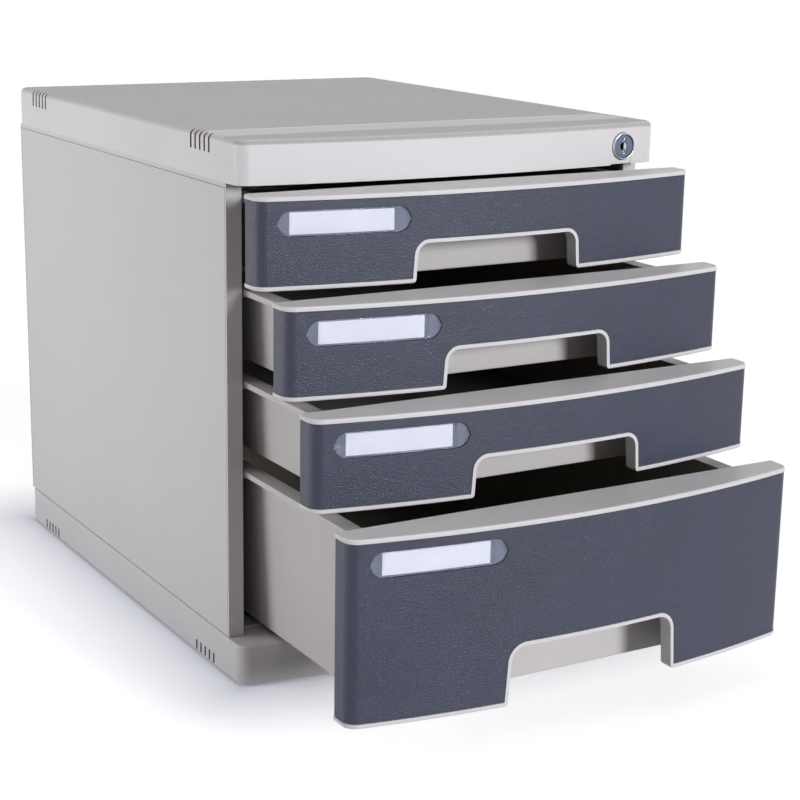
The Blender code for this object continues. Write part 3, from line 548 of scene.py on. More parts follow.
# %% [markdown]
# ## The lid
#
# The lid is a shallow tray turned upside down. Its top edge is rounded 3.5 mm, a smooth band crosses
# its stippled top, and ten slots on each side run over the rounded edge. It starts as the bowed
# plan, and its top edges are bevelled before anything is cut, while they are still one clean loop.
# The base has the same outline, so both come from the same functions.

# %% Sizes of the case
CASE_HALF = 0.150
CASE_DEPTH = 0.380
CASE_CORNER = 0.009
WALL = 0.0025
FIT = 0.0003
lid_low, lid_high = (corner.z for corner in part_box("top_cover"))
base_low, base_high = (corner.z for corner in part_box("base"))
CORNER_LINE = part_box("top_cover")[1].y - CASE_DEPTH
print("lid from", round(lid_low, 4), "to", round(lid_high, 4), "corner line", round(CORNER_LINE, 4))


def case_solid(bow, low, high):
    plan = bowed_plan(
        CASE_HALF, bow, CASE_CORNER, CORNER_LINE, CASE_DEPTH, low, back_corner=CASE_CORNER
    )
    return make_solid(plan, (0, 0, high - low))


def case_inside(bow, low, high):
    """The space between the walls, which starts below the open side."""
    depth, start = CASE_DEPTH - WALL, low - WALL
    plan = bowed_plan(CASE_HALF, bow, CASE_CORNER, CORNER_LINE, depth, start, WALL, CASE_CORNER)
    return make_solid(plan, (0, 0, high - low + WALL))


# %% Vent slots shared by the lid and the base
SLOTS = 5
SLOT_PITCH = 0.0065
SLOT_WIDTH = 0.0028
SLOT_TRIM = 0.0003
FRONT_MARGIN = 0.0377
REAR_MARGIN = 0.0325
SLOT_STARTS = (FRONT_MARGIN, CASE_DEPTH - REAR_MARGIN - SLOT_PITCH * (SLOTS - 1) - SLOT_WIDTH)
SLOT_WRAP = 0.003
SLOT_ROUND = 0.0006


def vent_slots(low, high):
    """Cutters for the slots near both ends of both sides, with rounded corners."""
    inner, outer = CASE_HALF - SLOT_WRAP, CASE_HALF + SLOT_WRAP
    slots = []
    for side in (-1, 1):
        for start in SLOT_STARTS:
            for index in range(SLOTS):
                front = CORNER_LINE + start + index * SLOT_PITCH
                back = front + SLOT_WIDTH - SLOT_TRIM
                slots.append(side_corners(side, inner, outer, front + SLOT_TRIM, back, low, high))
    return round_over(blocks(*slots), lambda edge: True, SLOT_ROUND, 2)


# %% The lid's shell and its smooth band
LID_BOW = 0.012
LID_ROUND = 0.0035
LID_ROOF = 0.003
SLOT_HEIGHT = 0.0112
BAND_FRONT = CORNER_LINE + 0.0215
BAND_BACK = CORNER_LINE + 0.052
BAND_SINK = 0.00025

tray = case_solid(LID_BOW, lid_low, lid_high)
lid = new_piece("lid_shell", round_over(tray, level_at(lid_high), LID_ROUND, 8))
hollow(lid, case_inside(LID_BOW, lid_low, lid_high - LID_ROOF))
hollow(lid, vent_slots(lid_high - SLOT_HEIGHT, lid_high + SLOT_HEIGHT))
band_low = (LID_ROUND - CASE_HALF, BAND_FRONT, lid_high - BAND_SINK)
band_high = (CASE_HALF - LID_ROUND, BAND_BACK, lid_high + BAND_SINK)
cut(lid, block(band_low, band_high))

# %% The lock's pad and its bore
lock_low, lock_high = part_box("lock_barrel")
LOCK_X = (lock_low.x + lock_high.x) / 2
LOCK_Z = (lock_low.z + lock_high.z) / 2
BEZEL_RADIUS = 0.0086
BARREL_RADIUS = 0.0078
PAD_HALF_WIDTH = 0.013
PAD_DEPTH = 0.006


def on_lock_axis(front, back, radius, steps=32):
    return rods(lengthwise(LOCK_X, LOCK_Z, front, back, radius), steps=steps)


plan = bowed_plan(CASE_HALF, LID_BOW, CASE_CORNER, CORNER_LINE, CASE_DEPTH / 4, lid_low, WALL / 2)
pad = join(lid, make_solid(plan, (0, 0, lid_high - LID_ROOF / 2 - lid_low)))
keep_inside(
    pad,
    block(
        (LOCK_X - PAD_HALF_WIDTH, CORNER_LINE - CASE_DEPTH, lid_low - WALL),
        (LOCK_X + PAD_HALF_WIDTH, CORNER_LINE + PAD_DEPTH, lid_high + WALL),
    ),
)
lid_front, behind_pad = CORNER_LINE - LID_BOW, CORNER_LINE + PAD_DEPTH * 2
cut(lid, on_lock_axis(CORNER_LINE - CASE_DEPTH, CORNER_LINE, BEZEL_RADIUS + FIT))
cut(lid, on_lock_axis(lid_front, behind_pad, BARREL_RADIUS + FIT))

# %% The shallow relief under the lock, and the seam at its right end
RELIEF_LEFT, RELIEF_RIGHT = LOCK_X - 0.00935, LOCK_X + 0.00795
RELIEF_HEIGHT = 0.0007
SEAM_WIDTH = 0.0004
SEAM_DEPTH = 0.0005

relief_low = (RELIEF_LEFT, lid_front, lid_low - WALL)
cut(lid, block(relief_low, (RELIEF_RIGHT, behind_pad, lid_low + RELIEF_HEIGHT)))
seam_y = CORNER_LINE + bow_face(CASE_HALF, LID_BOW, RELIEF_RIGHT)
seam_low = (RELIEF_RIGHT - SEAM_WIDTH, seam_y - LID_BOW, lid_low - WALL)
cut(lid, block(seam_low, (RELIEF_RIGHT, seam_y + SEAM_DEPTH, LOCK_Z)))

# %% [markdown]
# The lid's front and sides are finely stippled. Its top is coarser, apart from the band, so its
# material reads the height and the depth of a point: near the top face it swaps one stipple for
# the other, and between the band's two edges it goes smooth and a little bluer. The round at the
# front edge carries painted shade, darker than the faces on both sides of it.

# %% Where a point of the lid lies
ROUND_SPAN = (lid_high - 0.0033, lid_high - 0.0027)
FLAT_SPAN = (lid_high - 0.0012, lid_high - 0.0006)
FRONT_END = CORNER_LINE + LID_ROUND

lid_plastic, tree, shader = blank_material("lid_plastic", 0.45)
split = node(tree, "ShaderNodeSeparateXYZ", Vector=object_place(tree))
on_top = spread_range(tree, split.outputs["Z"], *ROUND_SPAN)
flat_top = spread_range(tree, split.outputs["Z"], *FLAT_SPAN)
after = spread_range(tree, split.outputs["Y"], BAND_FRONT, BAND_FRONT + FIT)
before = spread_range(tree, split.outputs["Y"], BAND_BACK - FIT, BAND_BACK, 1.0, 0.0)
at_front = spread_range(tree, split.outputs["Y"], FRONT_END, FRONT_END + LID_ROUND, 1.0, 0.0)
in_band = math(tree, "MULTIPLY", math(tree, "MULTIPLY", after, before), flat_top)
coarse_part = math(tree, "SUBTRACT", on_top, in_band)
# The mask of the front round, where shade is painted.
front_round_shade = math(tree, "MULTIPLY", math(tree, "SUBTRACT", on_top, flat_top), at_front)

# %% The lid's two stipples
FINE_SHARE = 0.22
LID_RELIEF = 0.00013

fine_height = math(tree, "MULTIPLY", dots(tree, 2000.0), FINE_SHARE)
coarse_dots = dots(tree, 1100.0, 0.6)
coarse_height = math(tree, "MULTIPLY", coarse_dots, coarse_part)
quiet = math(tree, "SUBTRACT", 1.0, on_top)
height = math(tree, "ADD", math(tree, "MULTIPLY", fine_height, quiet), coarse_height)
bump(tree, shader, height, LID_RELIEF)

# %% The lid's tones
BAND_TONE = (0.60, 0.61, 0.655)
# Painted shade: the front round is darkened by this tone.
ROUND_PAINTED_SHADE = (0.71, 0.70, 0.70)

plain = two_tones(tree, patches(tree, 10.0), shade(LID_TONE, 0.97), shade(LID_TONE, 1.03))
dotted = two_tones(tree, coarse_dots, (0.80, 0.79, 0.79), (1.04, 1.03, 1.03))
speckled = two_tones(tree, coarse_part, plain, dotted, "MULTIPLY")
tinted = two_tones(tree, in_band, speckled, BAND_TONE)
# Painted shade on the front round.
round_shaded = two_tones(tree, front_round_shade, tinted, ROUND_PAINTED_SHADE, "MULTIPLY")
feed(shader, "Base Color", round_shaded)
feed(shader, "Roughness", spread_range(tree, coarse_part, 0.0, 1.0, 0.42, 0.62))

soften(settle(lid), FINE_ROUND, 2)
# The lid's second finish paints shade in its inside and its vent slots.
stand_for(lid, "top_cover", "cabinet", "body_plastic", lid_plastic, case_painted_shade)

# %% [markdown]
# ## The base
#
# The base is a tray like the lid, but its bow is deeper, so a ledge shows in front of the deep
# drawer. A low ridge on the ledge lies just under the drawer's front. Pads inside it hold the feet.

# %% The base's shell
BASE_BOW = 0.017
BASE_ROUND = 0.001
BASE_DECK = 0.003
BASE_SLOT_HEIGHT = 0.007
RIDGE_HEIGHT = 0.0008

deck = base_high - RIDGE_HEIGHT
ceiling = deck - BASE_DECK
in_deck = ceiling + BASE_DECK / 2
tray = case_solid(BASE_BOW, base_low, deck)
plinth = new_piece("base_shell", round_over(tray, level_at(deck), BASE_ROUND, 4))
hollow(plinth, case_inside(BASE_BOW, base_low, ceiling))
hollow(plinth, vent_slots(base_low - BASE_SLOT_HEIGHT, base_low + BASE_SLOT_HEIGHT))

# %% Pads for the feet, and the ridge
FOOT_NODES = ("foot_front_left", "foot_front_right", "foot_rear_left", "foot_rear_right")
FOOT_RADIUS = 0.009
FOOT_SUNK = 0.0015
RIDGE_BACK = 0.029
RIDGE_WIDTH = 0.0015
RIDGE_HALF = 0.1385


def standing_place(name):
    """The x and y of a piece's middle, and the heights of its two ends."""
    low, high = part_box(name)
    return (low.x + high.x) / 2, (low.y + high.y) / 2, low.z, high.z


def uprights(places, low, high, radius):
    """Equal rods along Z at some places."""
    return rods(*[upright(x, y, low, high, radius) for x, y, *_ in places])


feet = [standing_place(foot) for foot in FOOT_NODES]
join(plinth, uprights(feet, base_low, in_deck, FOOT_RADIUS + WALL))
cut(plinth, uprights(feet, base_low - FOOT_SUNK, base_low + FOOT_SUNK + FIT, FOOT_RADIUS + FIT))
ridge_front = CORNER_LINE + RIDGE_BACK
ridge_low = (-RIDGE_HALF, ridge_front, in_deck)
join(plinth, block(ridge_low, (RIDGE_HALF, ridge_front + RIDGE_WIDTH, base_high)))

# %% Screw posts under the deck, one for each base screw
POST_RADIUS = 0.0045
SHANK_RADIUS = 0.0015
HEAD_RADIUS = 0.0025
HEAD_HEIGHT = 0.002
SCREW_CORNERS = ("front_left", "front_right", "rear_left", "rear_right")


def screw_places(kind):
    return [standing_place(f"{kind}_screw_{corner}") for corner in SCREW_CORNERS]


screws = screw_places("base")
head_low, tip_high = screws[0][2:]
join(plinth, uprights(screws, base_low, in_deck, POST_RADIUS))
cut(plinth, uprights(screws, base_low - WALL, head_low + HEAD_HEIGHT + FIT, HEAD_RADIUS + FIT))
cut(plinth, uprights(screws, base_low - WALL, tip_high + FIT, SHANK_RADIUS + FIT))
soften(settle(plinth), FINE_ROUND, 2)
# The base's second finish paints shade in its inside and its vent slots.
stand_for(plinth, "base", "cabinet", "body_plastic", base_plastic, case_painted_shade)

# %% [markdown]
# ## The side panels
#
# Each side panel is a flat box, open towards the drawers, and its front edge is the post. An inset
# of its inner face, pushed outwards, hollows it. On the outside a fine groove follows the front, top
# and back edges.

# %% Shaping a side panel
BORDER = 0.0017
TOP_BORDER = 0.0027
GROOVE_WIDTH = 0.0004
GROOVE_DEPTH = 0.0009
PANEL_WALL = 0.0025


def inset(bm, face, thickness, depth=0.0):
    """Insets one face; a negative depth sinks it."""
    bmesh.ops.inset_region(bm, faces=[face], thickness=thickness, depth=depth, use_even_offset=True)


def side_panel(hand, side):
    low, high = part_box(f"{hand}_side_panel")
    bm = block(low, high)
    bm.normal_update()
    inner = min(bm.faces, key=lambda face: face.normal.x * side)
    inset(bm, inner, PANEL_WALL)
    push(bm, [inner], (side * (high.x - low.x - PANEL_WALL), 0, 0))
    bmesh.ops.delete(bm, geom=[inner], context="FACES_ONLY")
    bmesh.ops.recalc_face_normals(bm, faces=bm.faces[:])
    panel = new_piece(f"{hand}_side_skin", bm)
    face = low.x if side < 0 else high.x
    left, right = face - GROOVE_DEPTH, face + GROOVE_DEPTH
    top = high.z - TOP_BORDER
    front, back = low.y + BORDER, high.y - BORDER
    cut(panel, block((left, front, top - GROOVE_WIDTH), (right, back, top)))
    for start in (front, back - GROOVE_WIDTH):
        groove_low = (left, start, low.z - BORDER)
        cut(panel, block(groove_low, (right, start + GROOVE_WIDTH, top - FIT / 2)))
    return panel


# %% Both side panels, with their screw holes and a window for the lock bar
BAR_ROOM = 0.0005
BAR_WINDOW = 0.010

for hand, side in (("left", -1), ("right", 1)):
    panel = side_panel(hand, side)
    low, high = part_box(f"{hand}_side_panel")
    from_below, from_above = (
        [place for place in screw_places(kind) if place[0] * side > 0] for kind in ("base", "cover")
    )
    keepers = []
    for x, y, _, end in from_below:
        inner, outer = abs(x) - POST_RADIUS / 2, abs(x) + POST_RADIUS * 0.75
        front, back = y - POST_RADIUS, y + POST_RADIUS
        foot, head = low.z + PANEL_WALL / 2, end + 2 * FIT
        keepers.append(side_corners(side, inner, outer, front, back, foot, head))
    join(panel, blocks(*keepers))
    holes = [
        upright(x, y, start - WALL, end + FIT, SHANK_RADIUS + FIT)
        for x, y, start, end in from_below + from_above
    ]
    cut(panel, rods(*holes))
    if side > 0:
        bar_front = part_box("lock_bar")[0].y
        window_low = (low.x, bar_front - BAR_ROOM, high.z - 2 * PANEL_WALL)
        window_back = bar_front + BAR_WINDOW + BAR_ROOM
        cut(panel, block(window_low, (high.x - PANEL_WALL, window_back, high.z + PANEL_WALL)))
    soften(settle(panel), WIDE_ROUND)
    stand_for(panel, f"{hand}_side_panel", "cabinet", "body_plastic", side_plastic)

# %% [markdown]
# ## The back
#
# The back panel is a thin board in a frame of its own border: an inset, pushed in, gives the border.

# %% The back panel
BACK_BORDER = 0.014
BACK_RECESS = 0.0008
BACK_SLOPE = 0.0006

bm = block(*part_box("back_panel"))
bm.normal_update()
rear = max(bm.faces, key=lambda face: face.normal.y)
inset(bm, rear, BACK_BORDER)
inset(bm, rear, BACK_SLOPE, -BACK_RECESS)
back_board = soften(new_piece("back_board", bm), EDGE_ROUND, 2)
stand_for(back_board, "back_panel", "cabinet", "body_plastic", back_plastic)

# %% [markdown]
# ## The feet
#
# Four rubber feet are pressed into the base's pads. Each one is a short rod with its lower edge
# rounded, and a shallow dimple so that it grips like a real one.

# %% The feet
FOOT_ROUND = 0.0006
SOLE_RIM = 0.002
DIMPLE_SLOPE = 0.0008
DIMPLE_DEPTH = 0.0005

for foot in FOOT_NODES:
    x, y, low, high = standing_place(foot)
    bm = rods(upright(x, y, low, high, FOOT_RADIUS))
    bm.normal_update()
    round_over(bm, level_at(low), FOOT_ROUND, 3)
    sole = min(bm.faces, key=lambda face: face.normal.z * face.calc_area())
    inset(bm, sole, SOLE_RIM)
    inset(bm, sole, DIMPLE_SLOPE, -DIMPLE_DEPTH)
    pad = soften(new_piece(f"{foot}_pad", bm), 0)
    stand_for(pad, foot, "cabinet", "foot_rubber", foot_rubber)

# %% [markdown]
# ## The drawer fronts
#
# A drawer front is a pale moulding: a top plate and a lower plate with a wall between them, and a
# finger notch in the lower edge with a rim of its own. The plates' front edges are well rounded,
# and that bright round line is the most telling detail of the whole cabinet.
#
# The notch is drawn lying flat and then stood up. Its sides flare by 4 degrees, and its mouth is
# rounded where it meets the lower plate. Grown a little, the same solid makes the rim and the
# fascia's cut-out. Behind the notch's wall the lower plate is cut away.

# %% Sizes of the drawer fronts
FRONT_HALF = 0.1538
FRONT_BOW = 0.0165
FRONT_CORNER = 0.0085
FRONT_DEPTH = 0.016
FRONT_WALL = 0.002
RIM = 0.0027
RIM_ROUND = 0.0011
RIM_STEP = 0.0001
NOTCH_HALF = 0.0557
NOTCH_FLARE = radians(4)
NOTCH_MOUTH = 0.0027
NOTCH_RIM = 0.0022
NOTCHES = ((0.0234, 0.0073), (0.0234, 0.0073), (0.0234, 0.0073), (0.0353, 0.0095))
NOTCH_WALL_BACK = 0.0045
NOTCH_CLEAR = 0.024
NOTCH_REACH = 2 * (FRONT_DEPTH + FRONT_BOW)


def front_solid(end_plane, low, high, inset=0.0, depth=FRONT_DEPTH):
    plan = bowed_plan(FRONT_HALF, FRONT_BOW, FRONT_CORNER, end_plane, depth, low, inset)
    return make_solid(plan, (0, 0, high - low))


# %% The notch as a solid, and bent sheets
def notch_solid(drawer, grow, front, back):
    """The notch as a solid, or its outside when it grows: flared sides and a rounded mouth."""
    radius, mouth = drawer.corner + grow, NOTCH_MOUTH - grow
    foot, high = drawer.low, drawer.notch + grow
    lean, rise = sin(NOTCH_FLARE), cos(NOTCH_FLARE)
    turn = pi / 2 - NOTCH_FLARE

    def side_x(z):
        return NOTCH_HALF + grow / rise + (drawer.notch - z) * tan(NOTCH_FLARE)

    top_x = side_x(high - radius) - radius / rise
    foot_x = side_x(foot + mouth) + mouth / rise
    bm, first = pen_down(foot_x, foot - RIM, 0)
    tip = line_to(bm, first, foot_x, foot)
    tip = swing_round(bm, tip, foot_x, foot + mouth, -turn, CORNER_STEPS)
    tip = line_to(bm, tip, top_x + radius * rise, high - radius + radius * lean)
    tip = swing_round(bm, tip, top_x, high - radius, turn, CORNER_STEPS)
    tip = line_to(bm, tip, -top_x, high)
    tip = swing_round(bm, tip, -top_x, high - radius, turn, CORNER_STEPS)
    tip = line_to(bm, tip, mouth * rise - foot_x, foot + mouth - mouth * lean)
    tip = swing_round(bm, tip, -foot_x, foot + mouth, -turn, CORNER_STEPS)
    tip = line_to(bm, tip, -foot_x, foot - RIM)
    close_and_fill(bm, tip, first)
    bmesh.ops.rotate(bm, verts=bm.verts[:], matrix=Matrix.Rotation(pi / 2, 3, "X"))
    bmesh.ops.translate(bm, verts=bm.verts[:], vec=(0, front, 0))
    return make_solid(bm, (0, back - front, 0))


def skin(end_plane, low, high, outer, inner, depth):
    """A bent sheet between two insets of the front, open at the back."""
    sheet = front_solid(end_plane, low, high, outer, depth)
    return sheet, front_solid(end_plane, low - RIM, high + RIM, inner, depth + RIM)


# %% The four drawers
drawers = []
for index, (notch, corner) in enumerate(NOTCHES):
    low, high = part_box(f"drawer_{index + 1}_front")
    drawers.append(
        SimpleNamespace(
            name=f"drawer_{index + 1}",
            end=low.y + FRONT_BOW,
            low=low.z,
            high=high.z,
            notch=low.z + notch,
            corner=corner,
        )
    )
print("drawers:", [(drawer.name, round(drawer.end, 4), round(drawer.low, 4)) for drawer in drawers])

# %% The screw bosses behind a front
BOSS_X = 0.095
BOSS_DROP = 0.026
BOSS_BORE = 0.0095


def boss_rods(drawer, radius, start, end):
    z, front, back = drawer.high - BOSS_DROP, drawer.end + start, drawer.end + end
    return rods(*[lengthwise(x, z, front, back, radius) for x in (-BOSS_X, BOSS_X)])


# %% Moulding a front
def plate(end, bottom, top, rounded):
    """One of a front's two plates, with the front edge at one height rounded."""

    def front_edge(edge):
        flat = level_at(rounded)(edge)
        return flat and any(vert.co.y < end + FRONT_DEPTH - NEAR for vert in edge.verts)

    return round_over(front_solid(end, bottom, top), front_edge, RIM_ROUND, 5)


def pale_front(drawer):
    end, low, high = drawer.end, drawer.low, drawer.high
    front = new_piece(f"{drawer.name}_pale_front", plate(end, high - RIM, high, high))
    join(front, plate(end, low, low + RIM, low))
    wall, core = skin(end, low + RIM / 2, high - RIM / 2, RIM, RIM + FRONT_WALL, FRONT_DEPTH)
    cut(join(front, wall), core)
    surround_top = drawer.notch + RIM + FRONT_WALL
    surround = join(front, front_solid(end, low + RIM / 2, surround_top, RIM_STEP))
    wall_back = end - NOTCH_WALL_BACK
    keep_inside(surround, notch_solid(drawer, NOTCH_RIM, end - NOTCH_REACH, wall_back))
    cut(front, notch_solid(drawer, 0, end - NOTCH_REACH, end + NOTCH_REACH))
    clear = NOTCH_HALF + NOTCH_CLEAR
    cut(front, block((-clear, wall_back, low - RIM), (clear, end + NOTCH_REACH, low + RIM + FIT)))
    inner_face = bow_face(FRONT_HALF, FRONT_BOW, BOSS_X) + RIM + FRONT_WALL / 2
    join(front, boss_rods(drawer, POST_RADIUS, inner_face, FRONT_DEPTH + FIT))
    bore_start, bore_end = FRONT_DEPTH - BOSS_BORE, FRONT_DEPTH + BOSS_BORE
    cut(front, boss_rods(drawer, SHANK_RADIUS + FIT, bore_start, bore_end))
    return soften(settle(front), WIDE_ROUND)


for drawer in drawers:
    front = pale_front(drawer)
    stand_for(front, f"{drawer.name}_front", drawer.name, "body_plastic", front_plastic)

# %% [markdown]
# ## The dark fascias
#
# A dark skin with a leather-like grain is set into each front between the two plates, and wraps
# round both ends. It is cut out round the notch's rim. A pocket with round ends takes the label,
# and the pocket's bed has the second finish, lighter and bluer: painted light, standing for the
# light that gathers under the window.

# %% A shape with two round ends
END_STEPS = 14


def stadium(centre_x, centre_z, width, height, front, back):
    """A bar with two round ends that points along Y, drawn by sweeping half turns."""
    radius = height / 2
    reach = width / 2 - radius
    left, right = centre_x - reach, centre_x + reach
    bm, first = pen_down(left, front, centre_z + radius)
    tip = swing_about(bm, first, (left, front, centre_z), DEPTHWAYS, -pi, END_STEPS)
    tip = line_to(bm, tip, right, front)
    tip = swing_about(bm, tip, (right, front, centre_z), DEPTHWAYS, -pi, END_STEPS)
    close_and_fill(bm, tip, first)
    return make_solid(bm, (0, back - front, 0))


# %% The grained finish, with painted shade in its creases, and the painted light of the label's bed
FASCIA_TONE = (0.039, 0.044, 0.078)
# Painted shade: the grain's creases are darkened towards this tone.
CREASE_PAINTED_SHADE = (0.022, 0.024, 0.04)
CREASE_SHADE_SHARE = 0.5
FASCIA_GLOSS = 0.36

fascia_finish, tree, shader = blank_material("fascia_finish", 0.4)
shader.inputs["Specular IOR Level"].default_value = FASCIA_GLOSS
leather = use_group(tree, grain, Scale=820.0, Wander=0.0009)
darker, lighter = shade(FASCIA_TONE, 0.93), shade(FASCIA_TONE, 1.07)
tone = two_tones(tree, patches(tree, 22.0), darker, lighter)
# Painted shade in the creases of the grain.
crease_shade = math(tree, "MULTIPLY", leather.outputs["Crease"], CREASE_SHADE_SHARE)
feed(shader, "Base Color", two_tones(tree, crease_shade, tone, CREASE_PAINTED_SHADE))
cell_height = leather.outputs["Height"]
feed(shader, "Roughness", spread_range(tree, cell_height, 0.0, 1.0, 0.46, 0.33))
bump(tree, shader, cell_height, 0.00008)

# Painted light: the label's bed is lighter and bluer than the fascia.
bed_painted_light = moulded("bed_painted_light", (0.13, 0.155, 0.23), 0.4, 1500.0, 0.00002)

# %% Fitting the fascias
FASCIA_SUNK = 0.0004
FASCIA_INNER = 0.00268
LABEL_BED = 0.00241
LABEL_X = -0.1011
LABEL_WIDTH = 0.0797
LABEL_HEIGHT = 0.0145
LABEL_DROP = 0.0157
LABEL_REACH = FRONT_DEPTH + FRONT_BOW
TAB_REACH = 0.0005
TAB_HALF_HEIGHT = 0.0013


def label_outline(centre, room, end):
    width, height = LABEL_WIDTH + 2 * room, LABEL_HEIGHT + 2 * room
    return stadium(LABEL_X, centre, width, height, end - LABEL_REACH, end)


def tip_tabs(centre, room, end):
    """A bar that shows as one small tab at each tip of the window."""
    half, high = LABEL_WIDTH / 2 + TAB_REACH + room, TAB_HALF_HEIGHT + room
    bar_low = (LABEL_X - half, end - LABEL_REACH, centre - high)
    return block(bar_low, (LABEL_X + half, end, centre + high))


def fascia(drawer):
    end, low, high = drawer.end, drawer.low, drawer.high
    bottom, top = low + RIM + FIT, high - RIM - FIT
    sheet, core = skin(end, bottom, top, FASCIA_SUNK, FASCIA_INNER, FRONT_DEPTH - FIT)
    piece = new_piece(f"{drawer.name}_dark_fascia", sheet)
    cut(piece, core)
    cut(piece, notch_solid(drawer, NOTCH_RIM + FIT, end - NOTCH_REACH, end + NOTCH_REACH))
    centre = high - LABEL_DROP
    pocket = cut(piece, label_outline(centre, FIT, end))
    join(pocket, tip_tabs(centre, FIT, end))
    hollow(pocket, front_solid(end, centre - LABEL_HEIGHT, centre + LABEL_HEIGHT, LABEL_BED))
    return soften(settle(piece), EDGE_ROUND)


for drawer in drawers:
    piece = fascia(drawer)
    name = drawer.name
    # The fascia's second finish paints light on the label's bed.
    stand_for(piece, f"{name}_fascia", name, "fascia_plastic", fascia_finish, bed_painted_light)

# %% [markdown]
# ## The labels
#
# Each label is a bare white card under a clear window with round ends. The window is thin acrylic:
# a Principled shader with full transmission, low roughness and its edges rounded, so the rim of
# the window catches a bright line. A small tab shows at each tip, and two fine grooves run beside
# the card's right end. The card has a faint paper fibre.

# %% Clear acrylic and paper
clear_acrylic, tree, shader = blank_material("clear_acrylic", 0.06)
shader.inputs["Base Color"].default_value = (0.97, 0.98, 1.0, 1)
shader.inputs["Transmission Weight"].default_value = 1.0
shader.inputs["IOR"].default_value = 1.46
feed(shader, "Roughness", spread_range(tree, dots(tree, 400.0, 0.4), 0.0, 1.0, 0.04, 0.1))

label_paper, tree, shader = blank_material("label_paper", 0.75)
paper_tones = two_tones(tree, patches(tree, 60.0), (0.78, 0.79, 0.88), (0.81, 0.82, 0.90))
feed(shader, "Base Color", paper_tones)
bump(tree, shader, dots(tree, 3000.0, 0.7), 0.00002)

# %% Windows and cards
CARD_X = -0.1027
CARD_WIDTH = 0.0633
CARD_HEIGHT = 0.0127
CARD_THICKNESS = 0.0004
CARD_ROUND = 0.0005
WINDOW_SUNK = 0.0002
WINDOW_THICKNESS = 0.0011
GROOVE_STEPS = (0.0008, 0.0024)
LINE_WIDTH = 0.0007
LINE_DEPTH = 0.0006


def label_sheet(drawer, kind, outer, inner):
    """A bent sheet that is taller than the label."""
    end, centre = drawer.end, drawer.high - LABEL_DROP
    bottom, top = centre - LABEL_HEIGHT, centre + LABEL_HEIGHT
    sheet, core = skin(end, bottom, top, outer, inner, FRONT_DEPTH)
    piece = new_piece(f"{drawer.name}_{kind}", sheet)
    cut(piece, core)
    return piece, end, centre


def label_window(drawer):
    outer = FASCIA_SUNK + WINDOW_SUNK
    window, end, centre = label_sheet(drawer, "clear_window", outer, outer + WINDOW_THICKNESS)
    join(keep_inside(window, label_outline(centre, 0, end)), tip_tabs(centre, 0, end))
    grooves = []
    for step in GROOVE_STEPS:
        x = CARD_X + CARD_WIDTH / 2 + step
        half = Vector((LINE_WIDTH / 2, LINE_DEPTH, CARD_HEIGHT / 2))
        middle = Vector((x, end + bow_face(FRONT_HALF, FRONT_BOW, x) + outer, centre))
        grooves.append((middle - half, middle + half))
    cut(window, blocks(*grooves))
    return soften(settle(window), EDGE_ROUND)


def label_card(drawer):
    back = RIM - FIT
    card, end, centre = label_sheet(drawer, "bare_card", back - CARD_THICKNESS, back)
    half = Vector((CARD_WIDTH / 2, LABEL_REACH, CARD_HEIGHT / 2))
    middle = Vector((CARD_X, end - FRONT_BOW, centre))
    keep_inside(card, round_over(block(middle - half, middle + half), along_y, CARD_ROUND, 3))
    return soften(settle(card), 0)


for drawer in drawers:
    name = drawer.name
    stand_for(label_window(drawer), f"{name}_label_window", name, "clear_plastic", clear_acrylic)
    stand_for(label_card(drawer), f"{name}_label_card", name, "label_card", label_paper)

# %% [markdown]
# ## The tubs
#
# Behind each front is a tub with drafted walls, which taper so that it leaves its mould, and flanges
# that hang on the runner panels' ledges. The body is a rounded rectangle pushed down and narrowed
# at its floor. A smaller one, made the same way, hollows it and leaves the second finish, painted
# shade that darkens the inside.

# %% Sizes of the tubs
RIM_DROP = 0.0065
FLANGE_OUTER = 0.1375
FLANGE_WIDTH = 0.0105
FLANGE_THICKNESS = 0.002
LIP_HEIGHT = 0.0035
LIP_THICKNESS = 0.0016
TUB_WALL = 0.002
TUB_FRONT = 0.0163
TUB_LENGTH = 0.350
TUB_CORNER = 0.006
SIDE_DRAFT = tan(radians(2.4))
END_DRAFT = tan(radians(1.3))
TUB_OUTER = FLANGE_OUTER - FLANGE_WIDTH + TUB_WALL


# %% Round corners and drafted walls
TUB_STEPS = 6


def rounded_plan(half_width, front, back, corner, height):
    """A filled rectangle with round corners."""
    x, low, high = half_width - corner, front + corner, back - corner
    bm, first = pen_down(half_width, high, height)
    tip = swing_round(bm, first, x, high, pi / 2, TUB_STEPS)
    tip = line_to(bm, tip, -x, back)
    tip = swing_round(bm, tip, -x, high, pi / 2, TUB_STEPS)
    tip = line_to(bm, tip, -half_width, low)
    tip = swing_round(bm, tip, -x, low, pi / 2, TUB_STEPS)
    tip = line_to(bm, tip, x, front)
    tip = swing_round(bm, tip, x, low, pi / 2, TUB_STEPS)
    close_and_fill(bm, tip, first)
    return bm


def narrowed(bm, drop, half_width, front, back):
    """Pushes a plan down into a solid, whose lower face is narrowed by the draft."""
    top = push(bm, bm.faces[:], (0, 0, -drop))[0]
    middle = (front + back) / 2
    across = (half_width - drop * SIDE_DRAFT) / half_width
    along = ((back - front) / 2 - drop * END_DRAFT) / ((back - front) / 2)
    about_middle = Matrix.Translation((0, -middle, 0))
    bmesh.ops.scale(bm, vec=(across, along, 1), verts=top.verts[:], space=about_middle)
    bmesh.ops.recalc_face_normals(bm, faces=bm.faces[:])
    return bm


# %% Making a tub
ABOVE_RIM = 0.002
FLOOR_ROUND = 0.0012
INNER_ROUND = 0.0015
TUB_BORE = 0.008


